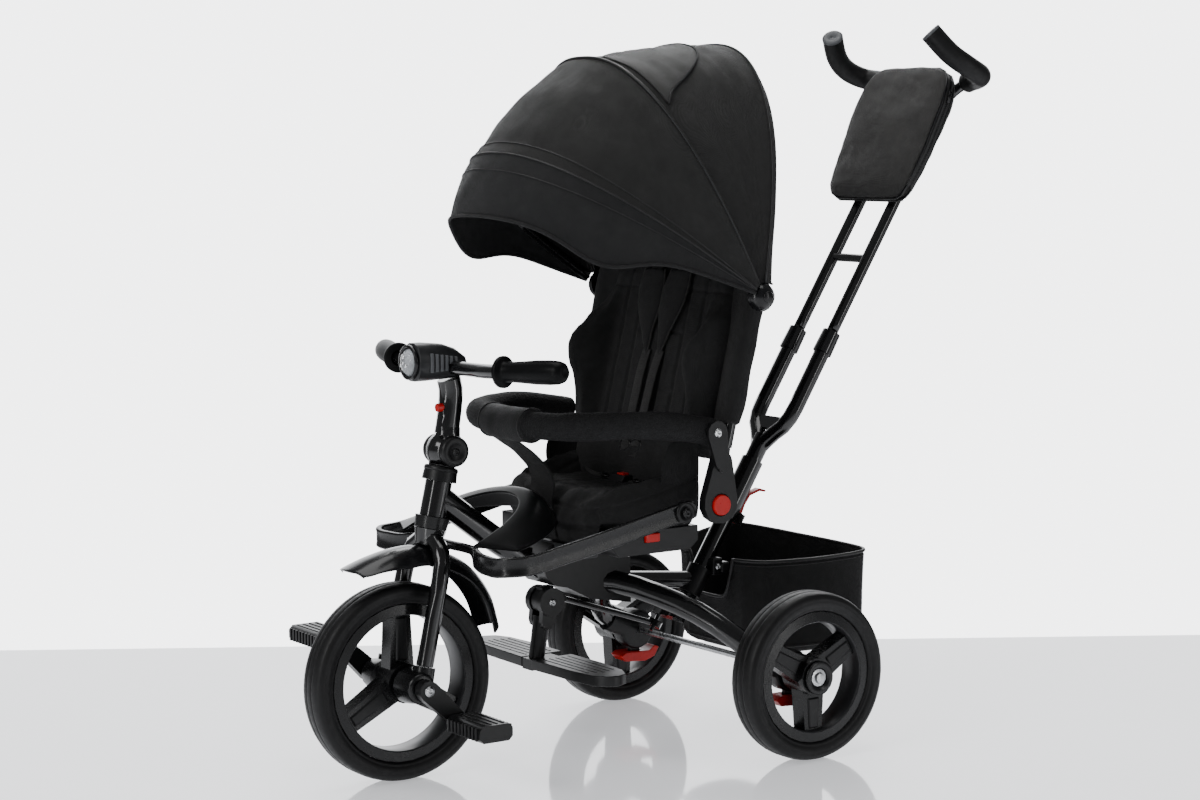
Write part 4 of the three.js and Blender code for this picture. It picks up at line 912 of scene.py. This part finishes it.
def build_bumper():
    half = [(80, 198, 492), (138, 226, 494), (174, 286, 495), (184, 345, 490), (184, 390, 482), (184, 412, 477)]
    path = curve(V, 121, *[(-x, y, z) for x, y, z in reversed(half)], (0, 192, 490), *half)

    def section(t):
        end = min(t, 1 - t)
        return circle(19.8 * (1 - 0.55 * max(0, 1 - end / 0.018) ** 2) + 0.5 * sin(t * 40), 28)

    pad = swept("bumper_pad", path, section, "mesh_cloth", hint=(0, 0, 1))
    dented(pad, lambda p, n: 0.7 * wobble(*(p * 0.03)))
    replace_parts(pad, "bumper_bar")
    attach(pad, "bumper")
    middle = curve(V, 33, (-56, 195, 491), (-28, 192.6, 490.2), (0, 192, 490), (28, 192.6, 490.2), (56, 195, 491))
    sleeve = swept("bumper_sleeve", middle, lambda t: circle(24.6 - 1.5 * abs(2 * t - 1) ** 6, 32), "band_cloth",
                   "bumper", hint=(0, 0, 1))
    dented(sleeve, lambda p, n: 0.8 * wobble(*(p * 0.06)))
    for s, side in SIDES:
        ring = [V(s * 53.5, 194.8 - 24.4 * cos(a), 490.9 + 24.4 * sin(a)) for a in turns(32)]
        pipe(f"bumper_sleeve_hem_{side}", ring, 1.1, "binding", "bumper", closed=True)
    run = curve(V, 60, (0, 176, 474), (0, 191, 463.5), (0, 214, 447), (0, 238, 422), (0, 246, 400), (0, 240, 372),
                (0, 241, 345), (0, 244, 322))
    web = swept("crotch_strap", run, lambda t: band(64 - 10 * sin(pi * t) + 14 * t, 2.6), "fabric", hint=(1, 0, 0))
    dented(web, lambda p, n: 0.8 * wobble(*(p * 0.05)) if abs(p.x) < 30 else 0)
    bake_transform(web)


build_bumper()

# ---- handle bag ----------------------------------------------------------------------------


BAG_STATIONS = [(676, 70, 13, 26), (682, 84, 11, 31), (694, 92, 10, 37), (720, 96, 10, 41), (760, 99, 10, 45),
                (800, 100, 12, 51), (836, 100, 14, 56), (860, 97, 18, 59), (878, 90, 20, 60), (890, 78, 22, 59),
                (896, 62, 25, 56)]
BAG_LOW, BAG_TALL = 676, 220
ALONG, ACROSS = (tuple(push(*q) - push(0, 0, 0)) for q in ((0, 0, 1), (0, 1, 0)))


def bag_ring(z):
    """The bag's outline at a height, from half widths and the depths of its rear and its face."""
    low, high = next(pair for pair in reversed(list(zip(BAG_STATIONS, BAG_STATIONS[1:]))) if pair[0][0] <= z + 1e-6)
    u = (z - low[0]) / (high[0] - low[0])
    half, rear, face = (a + (b - a) * u for a, b in zip(low[1:], high[1:]))
    ring = []
    for a, (x, y) in zip(turns(48), boxy(48, 7)):
        puff = 4 * max(0, sin(a)) * (1 - x * x) * sin(pi * (z - BAG_LOW) / BAG_TALL)
        dip = 2.5 * max(0, sin(a)) * exp(-((z - 855) / 30) ** 2)
        ring.append(push(half * x, -((rear + face) / 2 + (face - rear) / 2 * y + puff - dip), z))
    return ring


def build_bag():
    rings = [bag_ring(BAG_LOW + BAG_TALL * t) for t in steps(33)]
    bag = loft("handle_bag_shell", rings, "oxford")
    apply_all(subdivided(bag))
    dented(bag, lambda p, n: 1.6 * wobble(p.x * 0.018, p.y * 0.03, p.z * 0.018) + 0.8 * wobble(*(p * 0.06)))
    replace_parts(bag, "handle_bag")
    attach(bag, "push_handle")
    for name, near, far in (("front", 3, 21), ("rear", 45, 27)):
        loop = [ring[near] for ring in rings] + [ring[far] for ring in reversed(rings)]
        pipe(f"bag_piping_{name}", loop, 2.0, "gloss_plastic", "push_handle", closed=True)
    zip_path = [r[0] + (r[0] - r[24]).normalized() * 0.0012 for r in rings[3:32]]
    strap("bag_zip_tape", zip_path, 12, 1.6, "binding", "push_handle", ACROSS)
    verts, faces = [], []
    fine = spline(zip_path, 110)
    out = (rings[10][0] - rings[10][24]).normalized()
    for k, (p, (t, s, _)) in enumerate(zip(fine, frames(fine, hint=ACROSS))):
        off = -0.0008 if k % 2 == 0 else 0.0008
        faces += [tuple(len(verts) + i for i in f) for f in BOX]
        verts += [p + s * (a + off) + t * b + out * c for a in (-0.0012, 0.0012) for b in (-0.0005, 0.0005)
                  for c in (0.0005, 0.0019)]
    piece("bag_zip_teeth", verts, faces, "satin_plastic", "push_handle", smooth=False)
    strap("bag_zip_pull", [fine[96] + out * 0.003, fine[90] + out * 0.004, fine[84] + out * 0.0035], 5, 1.4,
          "satin_plastic", "push_handle", ACROSS)
    for s, side in SIDES:
        for z in (700, 868):
            loop = [push(s * 41.5 + 10.5 * cos(a), 10.5 * sin(a), z) for a in turns(20)]
            strap(f"bag_loop_{side}_{z}", loop + loop[:1], 18, 1.4, "webbing", "push_handle", ALONG)


build_bag()

# ---- basket --------------------------------------------------------------------------------


BASKET_Y = 640


def basket_plan(count):
    """Evenly spaced points round the basket, in mm, seen from above."""
    plan = [(72, 547), (112, 566), (150, 620), (170, 680), (162, 708), (120, 716), (60, 718), (0, 718)]
    loop = plan + [(-x, y) for x, y in reversed(plan[:-1])]
    loop += [(x, 547 - 3 * (1 - (x / 72) ** 2)) for x in (-60, -40, -20, 0, 20, 40, 60)]
    dense = spline([Vector((x, y, 0)) for x, y in loop + loop[:1]], count * 6 + 1)
    total = [0]
    for a, b in zip(dense, dense[1:]):
        total.append(total[-1] + (b - a).length)
    out, j = [], 0
    for i in range(count):
        want = total[-1] * i / count
        while total[j + 1] < want:
            j += 1
        out.append(dense[j].lerp(dense[j + 1], (want - total[j]) / max(total[j + 1] - total[j], 1e-9)))
    return out


def basket_point(p, grow, z):
    """A point of the basket's wall: grow outwards from the plan, z before the rim's slope and notch."""
    out = (p - Vector((0, BASKET_Y, 0))).normalized()
    notch = max(0, 1 - (abs(p.x) / 52) ** 6) if p.y < 600 else 0
    t = (z - 121) / 142
    if z > 145:
        z = 121 + (142 - 61 * notch) * t
    if 0.05 < t < 0.97:
        grow += 1.6 * wobble(p.x * 0.03, p.y * 0.03, z * 0.02) * min(1, max(0, (z - 130) / 30))
        grow -= 2 * sin(pi * t) * (0.5 + 0.5 * sin(p.x * 0.05))
    return V(p.x + out.x * grow, p.y + out.y * grow, z + 14 * min(1, max(0, (p.y - 540) / 175)))


def build_basket():
    plan = basket_plan(144)
    n = len(plan)
    rows = [[basket_point(p, grow, z) for p in plan] for grow, z in (
        (-60, 121), (-40, 120.5), (-26, 121), (-17, 122), (-9, 126), (-5, 133), (-3.5, 145), (-3, 160), (-2.5, 180),
        (-2, 200), (-1.5, 220), (-1, 240), (0, 256), (0.5, 263))]
    verts = sum(rows, []) + [sum(rows[0], Vector()) / n]
    faces = quads(len(rows), n) + [(i, (i + 1) % n, len(verts) - 1) for i in range(n)]
    basket = piece("basket_cloth", verts, faces, "fabric", "frame")
    modifier(basket, "SOLIDIFY", thickness=0.002, offset=-1)
    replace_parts(basket, "basket")
    seam = [p + (p - V(0, BASKET_Y, 250)).normalized() * 0.0004 for p in rows[-2]]
    trims = [pipe("basket_hem", rows[-1], 2.6, "binding", "frame", closed=True),
             pipe("basket_hem_seam", seam, 0.7, "thread", "frame", 6, closed=True),
             pipe("basket_base_piping", rows[5], 1.5, "binding", "frame", closed=True)]
    # A reflective strip down each rear corner.
    for s, side in SIDES:
        corner = min(range(n), key=lambda i: (plan[i] - Vector((s * 158, 711, 0))).length)
        run = [p + (p - V(0, BASKET_Y, p.z / MM)).normalized() * 0.001 for p in [row[corner] for row in rows[7:13]]]
        strap(f"basket_reflector_{side}", run, 11, 1.0, "reflective", "frame", (1, -s, 0))


build_basket()


def boxes(name, corners, mat, body, bevel=0.8, segments=2):
    """Boxes from their low and high corners in mm, as one moulded piece."""
    verts, faces = [], []
    for lo, hi in corners:
        faces += [tuple(len(verts) + i for i in f) for f in BOX]
        verts += [V(x, y, z) for x in (lo[0], hi[0]) for y in (lo[1], hi[1]) for z in (lo[2], hi[2])]
    return rounded(piece(name, verts, faces, mat, body), bevel, segments)


def build_grips():
    """Soft-touch grips that swell in the hand, and the teeth and ribs of pedals and foot plates."""
    shape = [(0, 12), (0.4, 20), (2, 22), (6.5, 22.2), (8.6, 20), (9.4, 15.8), (14, 14.4), (26, 14.2), (44, 15.2),
             (66, 16.6), (88, 16.8), (102, 16), (109, 14), (113, 10), (114.2, 6), (113.4, 4), (113.4, 0.01)]
    drop = radians(44)
    for s, side in SIDES:
        axis = Vector((s * 108.5, 34.7, 4.4))
        grip = lathe(f"soft_grip_{side}", shape, V(s * 141, 92, 579.9), axis, "cowl_plastic", "handlebar", 40)
        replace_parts(grip, f"grip_{side}")
        y, z = s * 69 * cos(drop), 140 - s * 69 * sin(drop)
        teeth = [((s * (99 + 9.2 * k), y + e * 24.5, z - 9), (s * (104 + 9.2 * k), y + e * 28.6, z + 9))
                 for e in (1, -1) for k in range(9)]
        teeth += [((s * 100, y - 17 + 10 * k, z + 10.5), (s * 178, y - 13.5 + 10 * k, z + 13.2)) for k in range(4)]
        boxes(f"pedal_teeth_{side}", teeth, "plastic", f"pedal_{side}")
        ribs = [((s * 24, 226 + 10.5 * k, 145.4), (s * (150 - 4 * abs(k - 2)), 229 + 10.5 * k, 146.7))
                for k in range(5)]
        boxes(f"foot_plate_ribs_{side}", ribs, "plastic", "footrest", 0.5)


build_grips()


def build_hardware():
    lathe("hinge_collar",
          [(-0.6, 12), (-0.6, 24.2), (2, 24.6), (4.6, 23.6), (5.6, 22.6), (5.6, 20.8), (3, 12), (-0.6, 12)],
          steer(0, 0, 299.4), steer(0, 0, 1) - steer(0, 0, 0), "plastic", "fork", 40)
    boxes("basket_clip", [((-24, 531, 236), (24, 549, 262))], "plastic", "frame", 3, 3)
    boxes("basket_clip_arm", [((-30, 543, 240), (30, 557, 256))], "plastic", "frame", 3, 3)
    boxes("seat_step", [((-118, 238, 304), (118, 262, 311))], "dark_grey_plastic", "frame", 1.5, 3)
    for k in range(5):
        boxes(f"seat_step_rib_{k}", [((-114, 240 + 4.4 * k, 310.5), (114, 242.2 + 4.4 * k, 312.4))], "mid_grey_plastic",
              "frame", 0.5, 3)
    for s, side in SIDES:
        hinge_body = "handlebar" if s > 0 else "fork"
        lathe(f"hinge_disc_{side}",
              [(0, 10), (0, 21.6), (8, 22.2), (12.4, 21.4), (14.4, 19), (14.8, 12.5), (13.8, 11.5), (13.8, 0.01)],
              steer(s * 15, 2, 328.5), (s, 0, 0), "plastic", hinge_body)
        tip, before = push(s * 119, -132, 904), push(s * 136, -96, 890)
        lathe(f"horn_cap_{side}", [(-2, 16.6), (0.5, 16.7), (2.2, 15.2), (2.6, 9), (1.6, 7.5), (1.6, 3), (0.2, 2.6),
                                   (0.2, 0.01)], tip, tip - before, "mid_grey_plastic", "push_handle", 32)
        horn = curve(push, 61, (s * 84, -6, 895.5), (s * 100, -9.6, 897.6), (s * 114, -13, 898), (s * 139, -30, 893),
                     (s * 145, -62, 888), (s * 136, -96, 890), (s * 119, -132, 904))
        swept(f"horn_foam_{side}", horn, lambda t: circle(16.5 * sqrt(1 - 0.6 * max(0, 1 - t / 0.05) ** 2), 28),
              "foam", "push_handle")
        tube_run = [push(s * 41.5, 0, 450 + 380 * t) for t in steps(20)]
        pipe(f"handle_tube_skin_{side}", tube_run, 8.9, "gloss_paint", "push_handle", 28)
        for name, centre, radius, body, mat in (
                ("hinge", steer(s * 28.6, 2, 328.5), 4.2, hinge_body, "plastic"),
                ("basket_clip", V(s * 24, 540, 249), 3.6, "frame", "steel"),
                ("bumper_pivot", V(s * 211, 406, 479), 4.6, "frame", "chrome"),
                ("footrest", V(s * 21, 246, 227), 4.0, "footrest", "steel"),
                ("hoop", V(s * 199, 359, 368), 5.0, "frame", "satin_plastic"),
                ("crank", V(s * 90, 0, 140), 5.5, "front_wheel", "steel")):
            bolt(f"{name}_bolt_{side}", centre, (s, 0, 0), radius, body, mat)


def build_console():
    """Ribbed grey side inserts, the lamp's bezel and its lights."""
    for s, side in SIDES:
        for k in range(6):
            y = 48 + 8 * k
            half = 27.6 - 0.0022 * max(0, y - 50) ** 2
            boxes(f"console_rib_{side}_{k}", [((s * (half - 2.6), y, 573 + 0.5 * k),
                                               (s * (half + 0.9), y + 4.6, 600 - 1.3 * k))],
                  "mid_grey_plastic", "handlebar", 0.9, 3)
    lathe("lamp_bezel", [(0, 19.6), (-3.0, 20.2), (-5.2, 22), (-4.4, 24.4), (0.5, 25.2), (0.5, 19.6), (0, 19.6)],
          V(0, 30, 587), (0, 1, 0), "gloss_plastic", "handlebar")
    for k, (r, turn) in enumerate(((0, 90), (7.5, 90), (7.5, 210), (7.5, 330))):
        a = radians(turn)
        lathe(f"lamp_led_{k}", [(-1.5, 0.01), (-1.5, 2), (0.5, 2.8), (2, 2.8), (2, 0.01)],
              V(r * cos(a), 19.2, 587 + r * sin(a)), (0, 1, 0), "chrome", "handlebar", 16)


build_hardware()
build_console()

# ---- floor ---------------------------------------------------------------------------------


HORIZON, FLOOR_HALF, FLOOR_DEPTH = 4.62, 14, 20  # metres; the first is from the camera's foot


def build_floor():
    finish("floor", (0.86, 0.87, 0.9), 0.07, 0.5, 0.02, 2, 0.02, ("noise", (3, 2), 5e-4, 0.05),
           Emission_Color=(0.93, 0.94, 0.97, 1), Emission_Strength=0.5, IOR=1.7)
    edge = Vector((CAMERA_AT[0], CAMERA_AT[1], -0.0004)) + away_dir * HORIZON
    far, wide = away_dir * FLOOR_DEPTH, right_dir * FLOOR_HALF
    piece("floor", [edge - wide, edge + wide, edge + wide - far, edge - wide - far], [(0, 1, 2, 3)], "floor")


build_floor()
